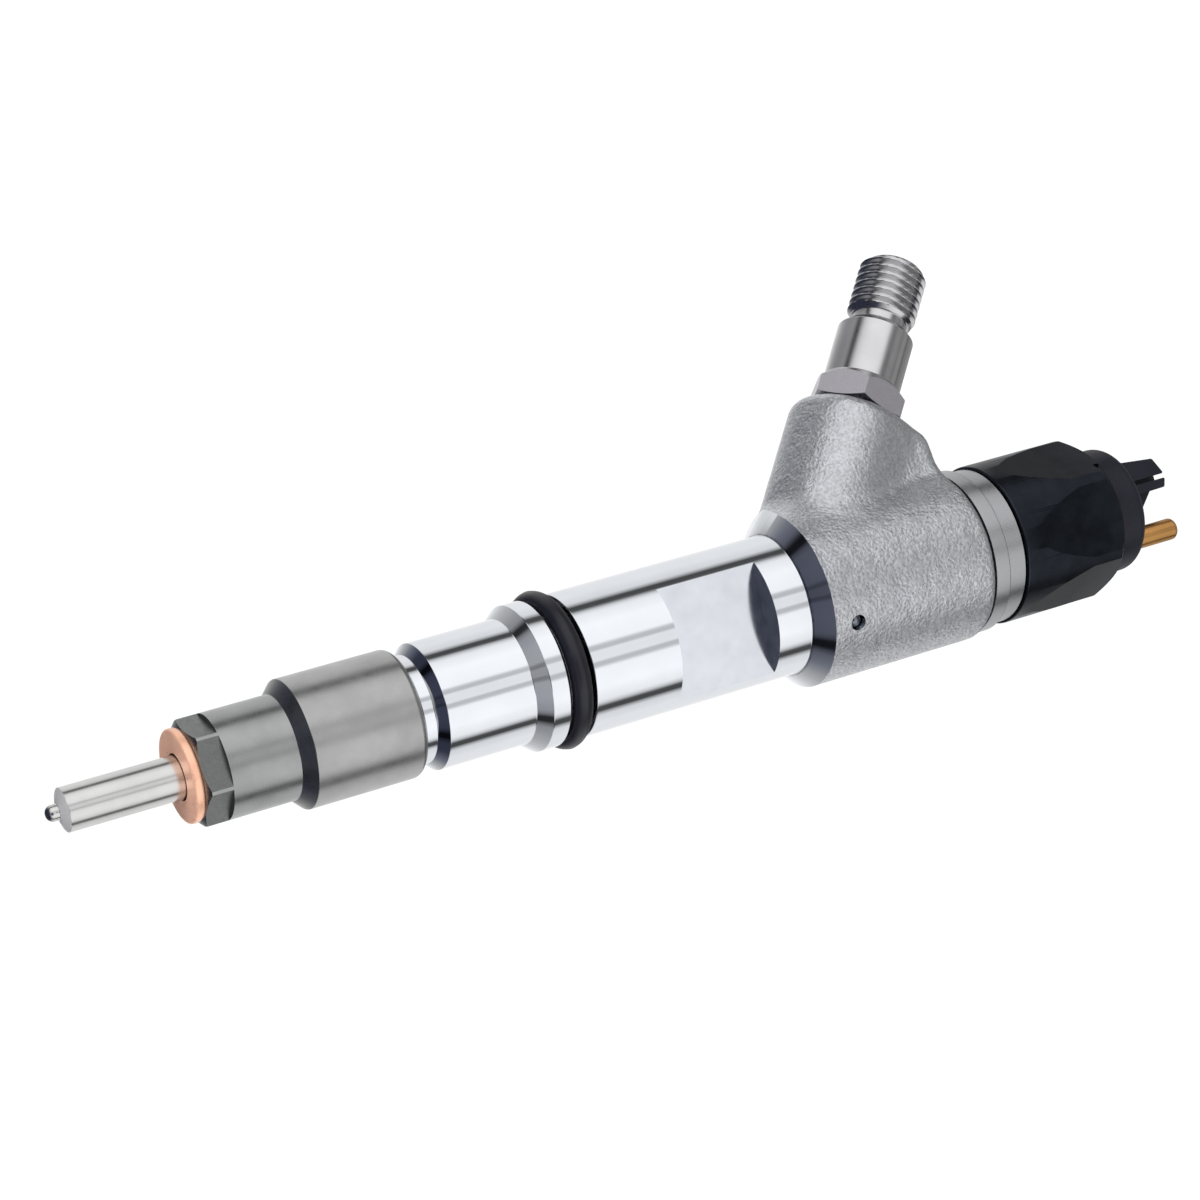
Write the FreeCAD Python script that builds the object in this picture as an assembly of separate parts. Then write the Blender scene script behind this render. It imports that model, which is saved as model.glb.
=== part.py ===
import FreeCAD, Part

import math
import os

from FreeCAD import Placement, Rotation, Vector

# A common-rail diesel fuel injector with a side inlet arm and an electromagnetic pilot valve.
# Millimetres. +X runs from the spray tip to the electrical terminals, +Z is the side of the inlet arm.
# The origin is on the injector's axis, in the plane where the copper washer seats in the cylinder head.
# A clock angle is measured about the axis, from +Z towards +Y.

# ---- fits -------------------------------------------------------------------------------------
GUIDE_GAP = 0.03        # radial clearance of a lapped sliding pair
LOOSE_GAP = 0.10        # radial clearance of a located piece
THREAD_GAP = 0.05       # radial clearance of a screwed pair, both made at crest size
MOVE_GAP = 0.05         # what is left between a moving piece and its stop or neighbour
SEAT_GAP = 0.02         # what is left between a resting valve face and its seat

# ---- motion -----------------------------------------------------------------------------------
NEEDLE_LIFT = 0.25
VALVE_LIFT = 0.06
RESIDUAL_AIR_GAP = 0.06

# ---- nozzle -----------------------------------------------------------------------------------
SHANK_R = 3.5
SHANK_LENGTH = 18.3     # from the washer's seat to the shank's front edge
SHANK_RELIEF = 0.2      # how much thinner the shank is inside the washer and nut
SAC_R = 1.3
SAC_LENGTH = 1.9        # how far the sac stands out of the cone
CONE_LENGTH = 0.9
COLLAR_R = 7.15
COLLAR_LENGTH = 17.7
SAC_HOLE_R = 0.55
NEEDLE_GUIDE_R = 2.0
NEEDLE_STEM_R = 1.2
STEM_BORE_R = 1.7
NEEDLE_STUB_R = 1.4
GALLERY_R = 3.1
DUCT_R = 0.8
DUCT_WALL = 0.6         # between the high-pressure duct and the spring chamber
STOP_PLATE_THICK = 3.0
DOWEL_R = 0.8
DOWEL_WALL = 0.8        # between a dowel and the spring chamber
DOWEL_DEPTH = 1.7       # how far a dowel goes into each neighbour
DOWEL_CLOCKS = (115.0, 245.0)

# ---- copper washer ----------------------------------------------------------------------------
WASHER_R = 7.5
WASHER_GAP = 0.15       # radial clearance round the nozzle's shank
WASHER_THICK = 1.5

# ---- nozzle retaining nut ---------------------------------------------------------------------
NUT_HEX_AF = 15.0
NUT_HEX_LENGTH = 4.2
NUT_HEX_CLOCK = -95.0
NUT_FRONT_WALL = 4.5
NUT_SMALL_WALL = 1.25   # round the nozzle's collar
NUT_SMALL_LENGTH = 15.4
NUT_LARGE_WALL = 1.4    # round the thread
NUT_LENGTH = 36.2
NUT_REAR_ROUND = 1.2
NUT_THREAD_RUN_IN = 5.7 # the thread starts this far in front of the stop plate's rear face
SPIGOT_THREAD_R = 9.0

# ---- injector body, turned part ---------------------------------------------------------------
NECK_DEPTH = 0.2        # how far the neck lies under the spigot's thread
NECK_LENGTH = 2.0
COLLAR_STEP = 1.55      # from the neck up to the front cylinder
COLLAR_FRONT_LENGTH = 15.1
FLANGE_STEP = 0.15      # how far the O-ring's flange stands over the body's cylinder
FLANGE_CONE_LENGTH = 2.25
FLANGE_LENGTH = 3.05
RING_GROOVE_DEPTH = 2.35
RING_GROOVE_LENGTH = 4.7
BODY_R = 11.95
BODY_LENGTH = 40.3
FLATS_AF = 15.0
FLATS_START = 15.7      # from the O-ring groove
FLATS_LENGTH = 18.4
FLATS_CLOCK = -109.0
O_RING_WIRE_R = 1.78

# ---- injector body, forged part ---------------------------------------------------------------
BARREL_R = 14.85
BARREL_LENGTH = 32.6
BARREL_ROUND = 1.6
LAND_STEP = 0.65        # the machined land lies this far under the barrel
LAND_LENGTH = 2.9
TAIL_STEP = 0.7         # and the next ring this far under the land
STEP_LENGTH = 3.6
ARM_ANGLE = 52.0
ARM_CROSSING = 5.5      # the arm's axis meets the injector's axis this far behind the body's cylinder
BOSS_R = 10.7
BOSS_LENGTH = 34.3
BOSS_TOP_ROUND = 2.4
WEB_HALF_THICK = 8.0
PLUG_R = 1.35
PLUG_DEPTH = 3.2
PLUG_BEHIND_CONE = 4.3
PLUG_CLOCK = -124.0
RETURN_PORT_R = 1.5
RETURN_PORT_BACK = 8.0  # from the O-ring groove
RETURN_PORT_CLOCK = 150.0

# ---- bores and chambers of the body -----------------------------------------------------------
SPRING_CHAMBER_R = 3.8
SPRING_CHAMBER_LENGTH = 20.0
PISTON_BORE_R = 2.55
VALVE_LEDGE = 2.0       # the ledge that the valve body's flange seats on
VALVE_BORE_LENGTH = 9.0
CLAMP_STEP = 1.5        # the clamp screw's thread is this much larger than the valve body's flange
MAGNET_STEP = 1.5       # and the magnet's bore this much larger than that thread
TAIL_WALL = 1.5         # round the magnet's bore
TAIL_SHOULDER = 1.0     # the rear thread lies this far under the ring in front of it
TAIL_THREAD_LENGTH = 8.6

# ---- piston and nozzle spring -----------------------------------------------------------------
PRESSURE_PIN_R = 1.9
PRESSURE_PIN_HEAD_GAP = 0.3
PRESSURE_PIN_HEAD_THICK = 1.5
PISTON_GUIDE_R = 2.15
PISTON_STEM_R = 1.9
SPRING_SHIM_THICK = 0.6
NOZZLE_SPRING_WIRE_R = 0.5
NOZZLE_SPRING_TURNS = 9
NEEDLE_STUB_OUT = 0.5   # how far the needle's stub stands behind the stop plate
PRESSURE_PIN_OUT = 1.0  # and the pressure pin behind the spring chamber
PISTON_BACK = 1.5       # from the piston's end to the valve body's flange
CONTROL_CHAMBER_LENGTH = 1.25

# ---- pilot valve ------------------------------------------------------------------------------
SEAL_RING_THICK = 0.6
VALVE_FLANGE_THICK = 3.0
THROTTLE_R = 0.25
BALL_R = 0.7
BALL_SEAT_MOUTH_R = 0.9
BALL_HOLDER_R = 1.5
BALL_HOLDER_LENGTH = 1.6
STROKE_SHIM_THICK = 0.8
GUIDE_FLANGE_THICK = 1.5
GUIDE_TUBE_R = 3.2
GUIDE_TUBE_LENGTH = 7.0
CLAMP_THICK = 5.0
CLAMP_BACK = 1.1        # how far behind the barrel the clamp screw's face lies
ARMATURE_PIN_R = 1.45
ARMATURE_PIN_HEAD_R = 2.4
ARMATURE_PIN_HEAD_THICK = 0.5
ARMATURE_PLATE_GAP = 1.3 # from the plate's edge to the clamp screw's thread
ARMATURE_PLATE_THICK = 2.2
ARMATURE_SLOTS = 4
LOCK_CLIP_R = 2.6
LOCK_CLIP_THICK = 1.0
ARMATURE_CHAMBER_LENGTH = 5.7
AIR_GAP_SHIM_THICK = 0.6

# ---- solenoid ---------------------------------------------------------------------------------
HOUSING_WALL = 0.9
HOUSING_FLANGE_GAP = 0.2
HOUSING_FLANGE_THICK = 2.9
CORE_LENGTH = 9.4
CORE_HOLE_R = 2.9
COIL_SLOT_INNER_R = 4.2
CORE_WALL = 1.6         # round the coil's slot
COIL_SLOT_DEPTH = 7.0
BOBBIN_WALL = 0.5
SOLENOID_SPRING_WIRE_R = 0.35
SOLENOID_SPRING_TURNS = 6
SOLENOID_SHIM_THICK = 0.7

# ---- solenoid nut -----------------------------------------------------------------------------
TAIL_NUT_WALL = 1.4     # round the thread
TAIL_NUT_GAP = 0.2      # between the nut's front and the ring before it
TAIL_NUT_LENGTH = 21.5
TAIL_NUT_SKIRT_STEP = 0.55 # the skirt's bore is this much larger than the thread
TAIL_NUT_SKIRT_LENGTH = 3.1
TAIL_NUT_HEX_WALL = 1.4 # between the cap's hole and a flat
TAIL_NUT_HEX_CLOCK = -103.0
TAIL_NUT_FACET_START = 3.0
TAIL_NUT_FACET_FULL = 14.2
TAIL_NUT_CHAMFER = 1.5
TAIL_NUT_NOTCH = 1.6
TAIL_RING_WIRE_R = 0.7

# ---- terminal cap and pins --------------------------------------------------------------------
CAP_STAND_OUT = 6.5     # how far the cap stands out of the solenoid nut
CAP_ROUND = 1.8
TERMINAL_CLOCK = -7.6
PIN_R = 1.9
PIN_ROOT_R = 1.5        # inside the cap
PIN_STAND_OUT = 8.4
PIN_END_ROUND = 0.9
PIN_DROP = 6.4
PIN_HALF_SPACING = 4.6
LEAD_R = 0.5
POST_LENGTH = 10.1
POST_HALF_WIDTH = 4.2
POST_TOP = 6.8
POST_GROOVE_TOP = 3.4
POST_GROOVE_BOTTOM = 2.6
POST_BOTTOM = 0.8
POST_WEB_HALF_THICK = 1.2

# ---- inlet connector --------------------------------------------------------------------------
INLET_THREAD_R = 6.0
INLET_THREAD_LENGTH = 10.8
INLET_RELIEF_DEPTH = 1.1
INLET_RELIEF_LENGTH = 1.6
INLET_SLEEVE_STEP = 0.7
INLET_SLEEVE_LENGTH = 11.6
INLET_SLEEVE_CHAMFER = 1.4
INLET_HEX_AF = 15.0
INLET_HEX_LENGTH = 5.6
INLET_HEX_CLOCK = -106.0
INLET_GAP = 0.9         # between the boss's face and the hexagon
INLET_ROOT_LENGTH = 18.0
INLET_NOSE_R = 3.2
INLET_NOSE_LENGTH = 3.0
INLET_BORE_R = 2.05
INLET_MOUTH_R = 3.6
INLET_DUCT_R = 1.0
FILTER_START = 4.0      # from the connector's threaded root
FILTER_LENGTH = 30.0
SEAT_RING_THICK = 0.8

# ---- radii that follow from the sizes above ----------------------------------------------------
duct_offset = SPRING_CHAMBER_R + DUCT_WALL + DUCT_R
dowel_offset = SPRING_CHAMBER_R + DOWEL_WALL + DOWEL_R
nut_small_r = COLLAR_R + LOOSE_GAP + NUT_SMALL_WALL
nut_large_r = SPIGOT_THREAD_R + THREAD_GAP + NUT_LARGE_WALL
neck_r = SPIGOT_THREAD_R - NECK_DEPTH
collar_front_r = neck_r + COLLAR_STEP
flange_r = BODY_R + FLANGE_STEP
ring_groove_r = BODY_R - RING_GROOVE_DEPTH
land_r = BARREL_R - LAND_STEP
step_r = land_r - TAIL_STEP
tail_thread_r = step_r - TAIL_SHOULDER
magnet_bore_r = tail_thread_r - TAIL_WALL
clamp_thread_r = magnet_bore_r - MAGNET_STEP
valve_flange_r = clamp_thread_r - CLAMP_STEP
valve_bore_r = valve_flange_r - VALVE_LEDGE
armature_plate_r = clamp_thread_r - ARMATURE_PLATE_GAP
cap_r = magnet_bore_r
tail_nut_r = tail_thread_r + THREAD_GAP + TAIL_NUT_WALL
tail_nut_skirt_r = tail_thread_r + TAIL_NUT_SKIRT_STEP
tail_nut_hex_af = 2 * (cap_r + LOOSE_GAP + TAIL_NUT_HEX_WALL)
inlet_relief_r = INLET_THREAD_R - INLET_RELIEF_DEPTH
inlet_sleeve_r = INLET_THREAD_R + INLET_SLEEVE_STEP

# ---- places along the axis, all worked out from the sizes above --------------------------------
shoulder_x = WASHER_THICK + NUT_FRONT_WALL
nozzle_rear_x = shoulder_x + COLLAR_LENGTH
plate_rear_x = nozzle_rear_x + STOP_PLATE_THICK
nut_rear_x = WASHER_THICK + NUT_LENGTH
neck_rear_x = nut_rear_x + NECK_LENGTH
collar_x = neck_rear_x + collar_front_r - neck_r
flange_cone_x = collar_x + COLLAR_FRONT_LENGTH
flange_x = flange_cone_x + FLANGE_CONE_LENGTH
groove_x = flange_x + FLANGE_LENGTH
groove_rear_x = groove_x + RING_GROOVE_LENGTH
barrel_cone_x = groove_rear_x + BODY_LENGTH
barrel_x = barrel_cone_x + BARREL_R - BODY_R
barrel_rear_x = barrel_x + BARREL_LENGTH
land_rear_x = barrel_rear_x + LAND_LENGTH
step_rear_x = land_rear_x + STEP_LENGTH
arm_x = barrel_cone_x + ARM_CROSSING

spring_chamber_x = plate_rear_x + SPRING_CHAMBER_LENGTH
clamp_rear_x = barrel_rear_x + CLAMP_BACK
guide_flange_x = clamp_rear_x - CLAMP_THICK - GUIDE_FLANGE_THICK
valve_face_x = guide_flange_x - STROKE_SHIM_THICK
valve_step_x = valve_face_x - VALVE_FLANGE_THICK
valve_bore_x = valve_step_x - VALVE_BORE_LENGTH
shim_x = clamp_rear_x + ARMATURE_CHAMBER_LENGTH
core_x = shim_x + AIR_GAP_SHIM_THICK
tail_x = step_rear_x + TAIL_THREAD_LENGTH
nut_front_x = step_rear_x + TAIL_NUT_GAP

housing_flange_x = tail_x + LOOSE_GAP
housing_rear_x = housing_flange_x + HOUSING_FLANGE_THICK
core_rear_x = core_x + CORE_LENGTH
tail_nut_rear_x = nut_front_x + TAIL_NUT_LENGTH
cap_rear_x = tail_nut_rear_x + CAP_STAND_OUT

ball_x = valve_face_x - BALL_SEAT_MOUTH_R + (BALL_R + SEAT_GAP) * math.sqrt(2)
holder_x = ball_x + 0.15
armature_pin_x = holder_x + BALL_HOLDER_LENGTH
plate_top_x = core_x - VALVE_LIFT - RESIDUAL_AIR_GAP
plate_bottom_x = plate_top_x - ARMATURE_PLATE_THICK
clip_top_x = plate_top_x + LOCK_CLIP_THICK
armature_pin_rear_x = clip_top_x + ARMATURE_PIN_HEAD_THICK
guide_tube_x = guide_flange_x + GUIDE_FLANGE_THICK + GUIDE_TUBE_LENGTH

# places along the inlet arm, from the injector's axis
hex_s = BOSS_LENGTH + INLET_GAP
sleeve_s = hex_s + INLET_HEX_LENGTH
relief_s = sleeve_s + INLET_SLEEVE_LENGTH
thread_s = relief_s + INLET_RELIEF_LENGTH
inlet_end_s = thread_s + INLET_THREAD_LENGTH
root_s = BOSS_LENGTH - INLET_ROOT_LENGTH
seat_s = root_s - INLET_NOSE_LENGTH
filter_s = root_s + FILTER_START


# ---- shape helpers ----------------------------------------------------------------------------
def corner(before, here, after):
    """Edges' meeting places and middle of the arc that rounds the corner here[2] in radius."""
    at = Vector(here[0], 0, here[1])
    back = (Vector(before[0], 0, before[1]) - at).normalize()
    on = (Vector(after[0], 0, after[1]) - at).normalize()
    half = back.getAngle(on) / 2
    reach = here[2] / math.tan(half)
    middle = (back + on).normalize() * (here[2] / math.sin(half) - here[2])
    return at + back * reach, at + middle, at + on * reach


def outline(points):
    """Closed face in the XZ plane from (x, z) points; a third number rounds that corner."""
    count = len(points)
    stops = []
    for index, point in enumerate(points):
        if len(point) == 3:
            stops.append(corner(points[index - 1], point, points[(index + 1) % count]))
        else:
            stops.append((Vector(point[0], 0, point[1]),))
    edges = []
    for index, stop in enumerate(stops):
        if len(stop) == 3:
            edges.append(Part.Arc(*stop).toShape())
        following = stops[(index + 1) % count][0]
        edges.append(Part.makeLine(stop[-1], following))
    return Part.Face(Part.Wire(edges))


def turned(*points):
    """Solid turned about the X axis from (x, radius) points, closed along the axis."""
    profile = [(points[0][0], 0.0)] + list(points) + [(points[-1][0], 0.0)]
    return outline(profile).revolve(Vector(0, 0, 0), Vector(1, 0, 0), 360)


def rod(start, end, radius, y=0.0, z=0.0):
    return Part.makeCylinder(radius, end - start, Vector(start, y, z), Vector(1, 0, 0))


def ring(start, end, inner, outer):
    return rod(start, end, outer).cut(rod(start - 1, end + 1, inner))


def torus(x, middle_r, wire_r):
    return Part.makeTorus(middle_r, wire_r, Vector(x, 0, 0), Vector(1, 0, 0))


def box(x0, x1, y0, y1, z0, z1):
    return Part.makeBox(x1 - x0, y1 - y0, z1 - z0, Vector(x0, y0, z0))


def clocked(shape, angle):
    """The shape turned about the X axis so that what faced +Z faces the clock angle."""
    turned_shape = shape.copy()
    turned_shape.rotate(Vector(0, 0, 0), Vector(1, 0, 0), -angle)
    return turned_shape


def around(shape, count, start=0.0):
    return [clocked(shape, start + 360.0 * index / count) for index in range(count)]


def hexagon(start, end, across_flats, clock):
    """Bar along X whose six flats face the clock angle and its sixty-degree steps."""
    reach = across_flats / math.sqrt(3)
    corners = []
    for index in range(7):
        angle = math.radians(clock + 30 + 60 * index)
        corners.append(Vector(start, reach * math.sin(angle), reach * math.cos(angle)))
    return Part.Face(Part.makePolygon(corners)).extrude(Vector(end - start, 0, 0))


def spring(start, end, middle_r, wire_r, turns):
    """Open coil along X whose wire stays between start and end."""
    height = end - start - 2 * wire_r
    path = Part.makeHelix(height / turns, height, middle_r)
    wire = Part.Wire(Part.makeCircle(wire_r, Vector(middle_r, 0, 0), Vector(0, 1, 0)))
    coil = Part.Wire(path.Edges).makePipeShell([wire], True, True)
    coil.rotate(Vector(0, 0, 0), Vector(0, 1, 0), 90)
    coil.translate(Vector(start + wire_r, 0, 0))
    return coil


def in_arm(shape):
    """The shape moved from the X axis to the inlet arm's axis."""
    moved = shape.copy()
    moved.Placement = Placement(Vector(arm_x, 0, 0), Rotation(Vector(0, 1, 0), -ARM_ANGLE))
    return moved


def cut_all(shape, tools):
    return shape.cut(Part.makeCompound(tools))


def dowel(start, end, gap):
    solid = rod(start - gap, end + gap, DOWEL_R + gap, z=dowel_offset)
    return [clocked(solid, angle) for angle in DOWEL_CLOCKS]


def dowels(gap=0.0):
    return dowel(nozzle_rear_x - DOWEL_DEPTH, plate_rear_x + DOWEL_DEPTH, gap)


# ---- nozzle end -------------------------------------------------------------------------------
needle_stop_x = nozzle_rear_x - NEEDLE_LIFT - MOVE_GAP
gallery_x = shoulder_x + 4.0
gallery_length = 3.0
guide_x = gallery_x + gallery_length
cone_x = -SHANK_LENGTH - CONE_LENGTH
seat_x = cone_x + STEM_BORE_R - SAC_HOLE_R
stub_rear_x = plate_rear_x + NEEDLE_STUB_OUT


def nozzle_body():
    outside = turned(
        (cone_x - SAC_LENGTH, 0.05),
        (cone_x - SAC_LENGTH, SAC_R, SAC_R * 0.9),
        (cone_x, SAC_R),
        (-SHANK_LENGTH - 0.2, SHANK_R - 0.3),
        (-SHANK_LENGTH, SHANK_R),
        (0.0, SHANK_R),
        (0.0, SHANK_R - SHANK_RELIEF),
        (shoulder_x, SHANK_R - SHANK_RELIEF),
        (shoulder_x, COLLAR_R, 0.4),
        (nozzle_rear_x, COLLAR_R, 0.3),
    )
    bore = turned(
        (cone_x - SAC_LENGTH / 2, SAC_HOLE_R),
        (cone_x, SAC_HOLE_R),
        (seat_x, STEM_BORE_R),
        (gallery_x, STEM_BORE_R),
        (gallery_x, GALLERY_R, 0.5),
        (guide_x, GALLERY_R, 0.5),
        (guide_x, NEEDLE_GUIDE_R),
        (nozzle_rear_x + 1, NEEDLE_GUIDE_R),
    )
    start = Vector(nozzle_rear_x + 0.1, 0, duct_offset)
    end = Vector(gallery_x + gallery_length / 2, 0, GALLERY_R - DUCT_R)
    duct = Part.makeCylinder(DUCT_R, (end - start).Length, start, end - start)
    return cut_all(outside, [bore, duct] + dowels(GUIDE_GAP))


def nozzle_needle():
    lift_free = SEAT_GAP * math.sqrt(2)
    return turned(
        (cone_x - 0.5 + lift_free, 0.05),
        (cone_x + lift_free, 0.5),
        (cone_x + NEEDLE_STEM_R - 0.5 + lift_free, NEEDLE_STEM_R),
        (guide_x - 0.8, NEEDLE_STEM_R),
        (guide_x, NEEDLE_GUIDE_R - GUIDE_GAP),
        (needle_stop_x, NEEDLE_GUIDE_R - GUIDE_GAP),
        (needle_stop_x, NEEDLE_STUB_R),
        (stub_rear_x, NEEDLE_STUB_R),
    )


def nozzle_stop_plate():
    plate = ring(nozzle_rear_x, plate_rear_x, NEEDLE_STUB_R + 0.35, COLLAR_R)
    duct = rod(nozzle_rear_x - 1, plate_rear_x + 1, DUCT_R, z=duct_offset)
    return cut_all(plate, [duct] + dowels(GUIDE_GAP))


def locating_dowels():
    return Part.makeCompound(dowels())


def nozzle_retaining_nut():
    hex_rear_x = WASHER_THICK + NUT_HEX_LENGTH
    small_rear_x = WASHER_THICK + NUT_SMALL_LENGTH
    thread_start_x = plate_rear_x - NUT_THREAD_RUN_IN
    outside = turned(
        (WASHER_THICK, NUT_HEX_AF / 2 - 0.3),
        (WASHER_THICK + 0.7, nut_small_r),
        (small_rear_x, nut_small_r),
        (small_rear_x + nut_large_r - nut_small_r, nut_large_r),
        (nut_rear_x, nut_large_r, NUT_REAR_ROUND),
    )
    beyond = ring(WASHER_THICK - 1, hex_rear_x, 0.1, nut_large_r + 1)
    flats = beyond.cut(hexagon(WASHER_THICK - 2, hex_rear_x + 1, NUT_HEX_AF, NUT_HEX_CLOCK))
    bore = turned(
        (WASHER_THICK - 1, SHANK_R + LOOSE_GAP),
        (shoulder_x, SHANK_R + LOOSE_GAP),
        (shoulder_x, COLLAR_R + LOOSE_GAP),
        (thread_start_x, COLLAR_R + LOOSE_GAP),
        (thread_start_x + 1, SPIGOT_THREAD_R + THREAD_GAP),
        (nut_rear_x + 1, SPIGOT_THREAD_R + THREAD_GAP),
    )
    return cut_all(outside, [flats, bore])


def copper_washer():
    washer = turned((0, WASHER_R, 0.3), (WASHER_THICK, WASHER_R, 0.3))
    return washer.cut(rod(-1, WASHER_THICK + 1, SHANK_R + WASHER_GAP))


# ---- injector body ----------------------------------------------------------------------------
def turned_blank():
    return turned(
        (plate_rear_x, SPIGOT_THREAD_R - 0.8),
        (plate_rear_x + 0.8, SPIGOT_THREAD_R),
        (nut_rear_x - 1.5, SPIGOT_THREAD_R),
        (nut_rear_x - 1.3, neck_r),
        (neck_rear_x, neck_r),
        (collar_x, collar_front_r),
        (flange_cone_x, collar_front_r),
        (flange_x, flange_r),
        (groove_x, flange_r),
        (groove_x, ring_groove_r),
        (groove_rear_x, ring_groove_r),
        (groove_rear_x, BODY_R),
        (barrel_cone_x, BODY_R),
        (barrel_x, BARREL_R),
        (barrel_rear_x, BARREL_R, BARREL_ROUND),
        (barrel_rear_x, land_r),
        (land_rear_x, land_r),
        (land_rear_x, step_r),
        (step_rear_x, step_r),
        (step_rear_x, tail_ring_groove_r),
        (step_rear_x + TAIL_NUT_SKIRT_LENGTH - 0.8, tail_ring_groove_r),
        (step_rear_x + TAIL_NUT_SKIRT_LENGTH - 0.8, tail_thread_r),
        (tail_x, tail_thread_r, 0.5),
    )


def inlet_boss():
    """Round boss along the arm, and the web that joins it to the barrel's rear end."""
    boss = in_arm(turned((0, BOSS_R), (BOSS_LENGTH, BOSS_R, BOSS_TOP_ROUND)))
    angle = math.radians(ARM_ANGLE)
    top = Vector(arm_x + BOSS_LENGTH * math.cos(angle), 0, BOSS_LENGTH * math.sin(angle))
    across = (barrel_rear_x - top.x) / math.sin(angle)
    rear_z = top.z - across * math.cos(angle)
    web = outline([(arm_x, 0), (top.x, top.z), (barrel_rear_x, rear_z, 1.5), (barrel_rear_x, 0)])
    web = web.extrude(Vector(0, 2 * WEB_HALF_THICK, 0))
    web.translate(Vector(0, -WEB_HALF_THICK, 0))
    return boss.fuse(web)


def wrench_flats():
    start = groove_rear_x + FLATS_START
    slab = box(start, start + FLATS_LENGTH, -BODY_R, BODY_R, FLATS_AF / 2, BODY_R + 1)
    return around(slab, 2, FLATS_CLOCK)


def body_bores():
    """Everything drilled along the injector's axis."""
    stages = turned(
        (plate_rear_x - 1, SPRING_CHAMBER_R),
        (spring_chamber_x, SPRING_CHAMBER_R),
        (spring_chamber_x, PISTON_BORE_R),
        (valve_bore_x, PISTON_BORE_R),
        (valve_bore_x, valve_bore_r),
        (valve_step_x, valve_bore_r),
        (valve_step_x, valve_flange_r + LOOSE_GAP),
        (guide_flange_x + GUIDE_FLANGE_THICK, valve_flange_r + LOOSE_GAP),
        (guide_flange_x + GUIDE_FLANGE_THICK, clamp_thread_r + THREAD_GAP),
        (shim_x, clamp_thread_r + THREAD_GAP),
        (shim_x, magnet_bore_r),
        (tail_x + 1, magnet_bore_r),
    )
    duct = rod(plate_rear_x - 1, valve_bore_x + 0.1, DUCT_R, z=duct_offset)
    return [stages, duct]


def arm_bores():
    """The connector's thread, its seat and the duct that feeds the injector."""
    duct_s = duct_offset / math.sin(math.radians(ARM_ANGLE))
    bore = turned(
        (duct_s, INLET_DUCT_R),
        (seat_s - SEAT_RING_THICK, INLET_DUCT_R),
        (seat_s - SEAT_RING_THICK, INLET_NOSE_R + LOOSE_GAP),
        (root_s, INLET_NOSE_R + LOOSE_GAP),
        (root_s, INLET_THREAD_R + THREAD_GAP),
        (BOSS_LENGTH - 0.6, INLET_THREAD_R + THREAD_GAP),
        (BOSS_LENGTH + 0.6, INLET_THREAD_R + THREAD_GAP + 1.2),
    )
    return in_arm(bore)


def drilling_plug_hole():
    depth = rod(0, PLUG_DEPTH + 1, PLUG_R)
    depth.rotate(Vector(0, 0, 0), Vector(0, 1, 0), -90)
    depth.translate(Vector(barrel_x + PLUG_BEHIND_CONE, 0, BARREL_R - PLUG_DEPTH))
    return clocked(depth, PLUG_CLOCK)


def return_port():
    hole = rod(0, BODY_R + 1, RETURN_PORT_R)
    hole.rotate(Vector(0, 0, 0), Vector(0, 1, 0), -90)
    hole.translate(Vector(groove_rear_x + RETURN_PORT_BACK, 0, 0))
    return clocked(hole, RETURN_PORT_CLOCK)


def injector_body():
    body = turned_blank().fuse(inlet_boss())
    tools = body_bores() + wrench_flats() + dowels(GUIDE_GAP)
    tools += [arm_bores(), drilling_plug_hole(), return_port()]
    return cut_all(body, tools)


def drilling_plug_ball():
    ball = Part.makeSphere(PLUG_R)
    ball.translate(Vector(barrel_x + PLUG_BEHIND_CONE, 0, BARREL_R - PLUG_DEPTH + PLUG_R))
    return clocked(ball, PLUG_CLOCK)


def body_o_ring():
    return torus((groove_x + groove_rear_x) / 2, ring_groove_r + O_RING_WIRE_R, O_RING_WIRE_R)


# ---- needle, piston and nozzle spring ---------------------------------------------------------
pin_head_rear_x = stub_rear_x + PRESSURE_PIN_HEAD_THICK
pressure_pin_rear_x = spring_chamber_x + PRESSURE_PIN_OUT
piston_rear_x = valve_step_x - PISTON_BACK
control_chamber_x = piston_rear_x + NEEDLE_LIFT + CONTROL_CHAMBER_LENGTH
nozzle_spring_middle_r = PRESSURE_PIN_R + NOZZLE_SPRING_WIRE_R + 0.5


def pressure_pin():
    return turned(
        (stub_rear_x, SPRING_CHAMBER_R - PRESSURE_PIN_HEAD_GAP, 0.3),
        (pin_head_rear_x, SPRING_CHAMBER_R - PRESSURE_PIN_HEAD_GAP),
        (pin_head_rear_x, PRESSURE_PIN_R),
        (pressure_pin_rear_x - MOVE_GAP, PRESSURE_PIN_R),
    )


def nozzle_spring_shim():
    start = spring_chamber_x - SPRING_SHIM_THICK
    return ring(start, spring_chamber_x, PRESSURE_PIN_R + 0.4, SPRING_CHAMBER_R - LOOSE_GAP)


def nozzle_spring():
    end = spring_chamber_x - SPRING_SHIM_THICK
    return spring(
        pin_head_rear_x, end, nozzle_spring_middle_r, NOZZLE_SPRING_WIRE_R, NOZZLE_SPRING_TURNS
    )


def control_piston():
    neck = valve_bore_x - 1.0
    return turned(
        (pressure_pin_rear_x, PISTON_STEM_R - 0.4),
        (pressure_pin_rear_x + 0.4, PISTON_STEM_R),
        (neck, PISTON_STEM_R),
        (neck + 0.5, PISTON_GUIDE_R),
        (piston_rear_x, PISTON_GUIDE_R, 0.3),
    )


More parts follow.
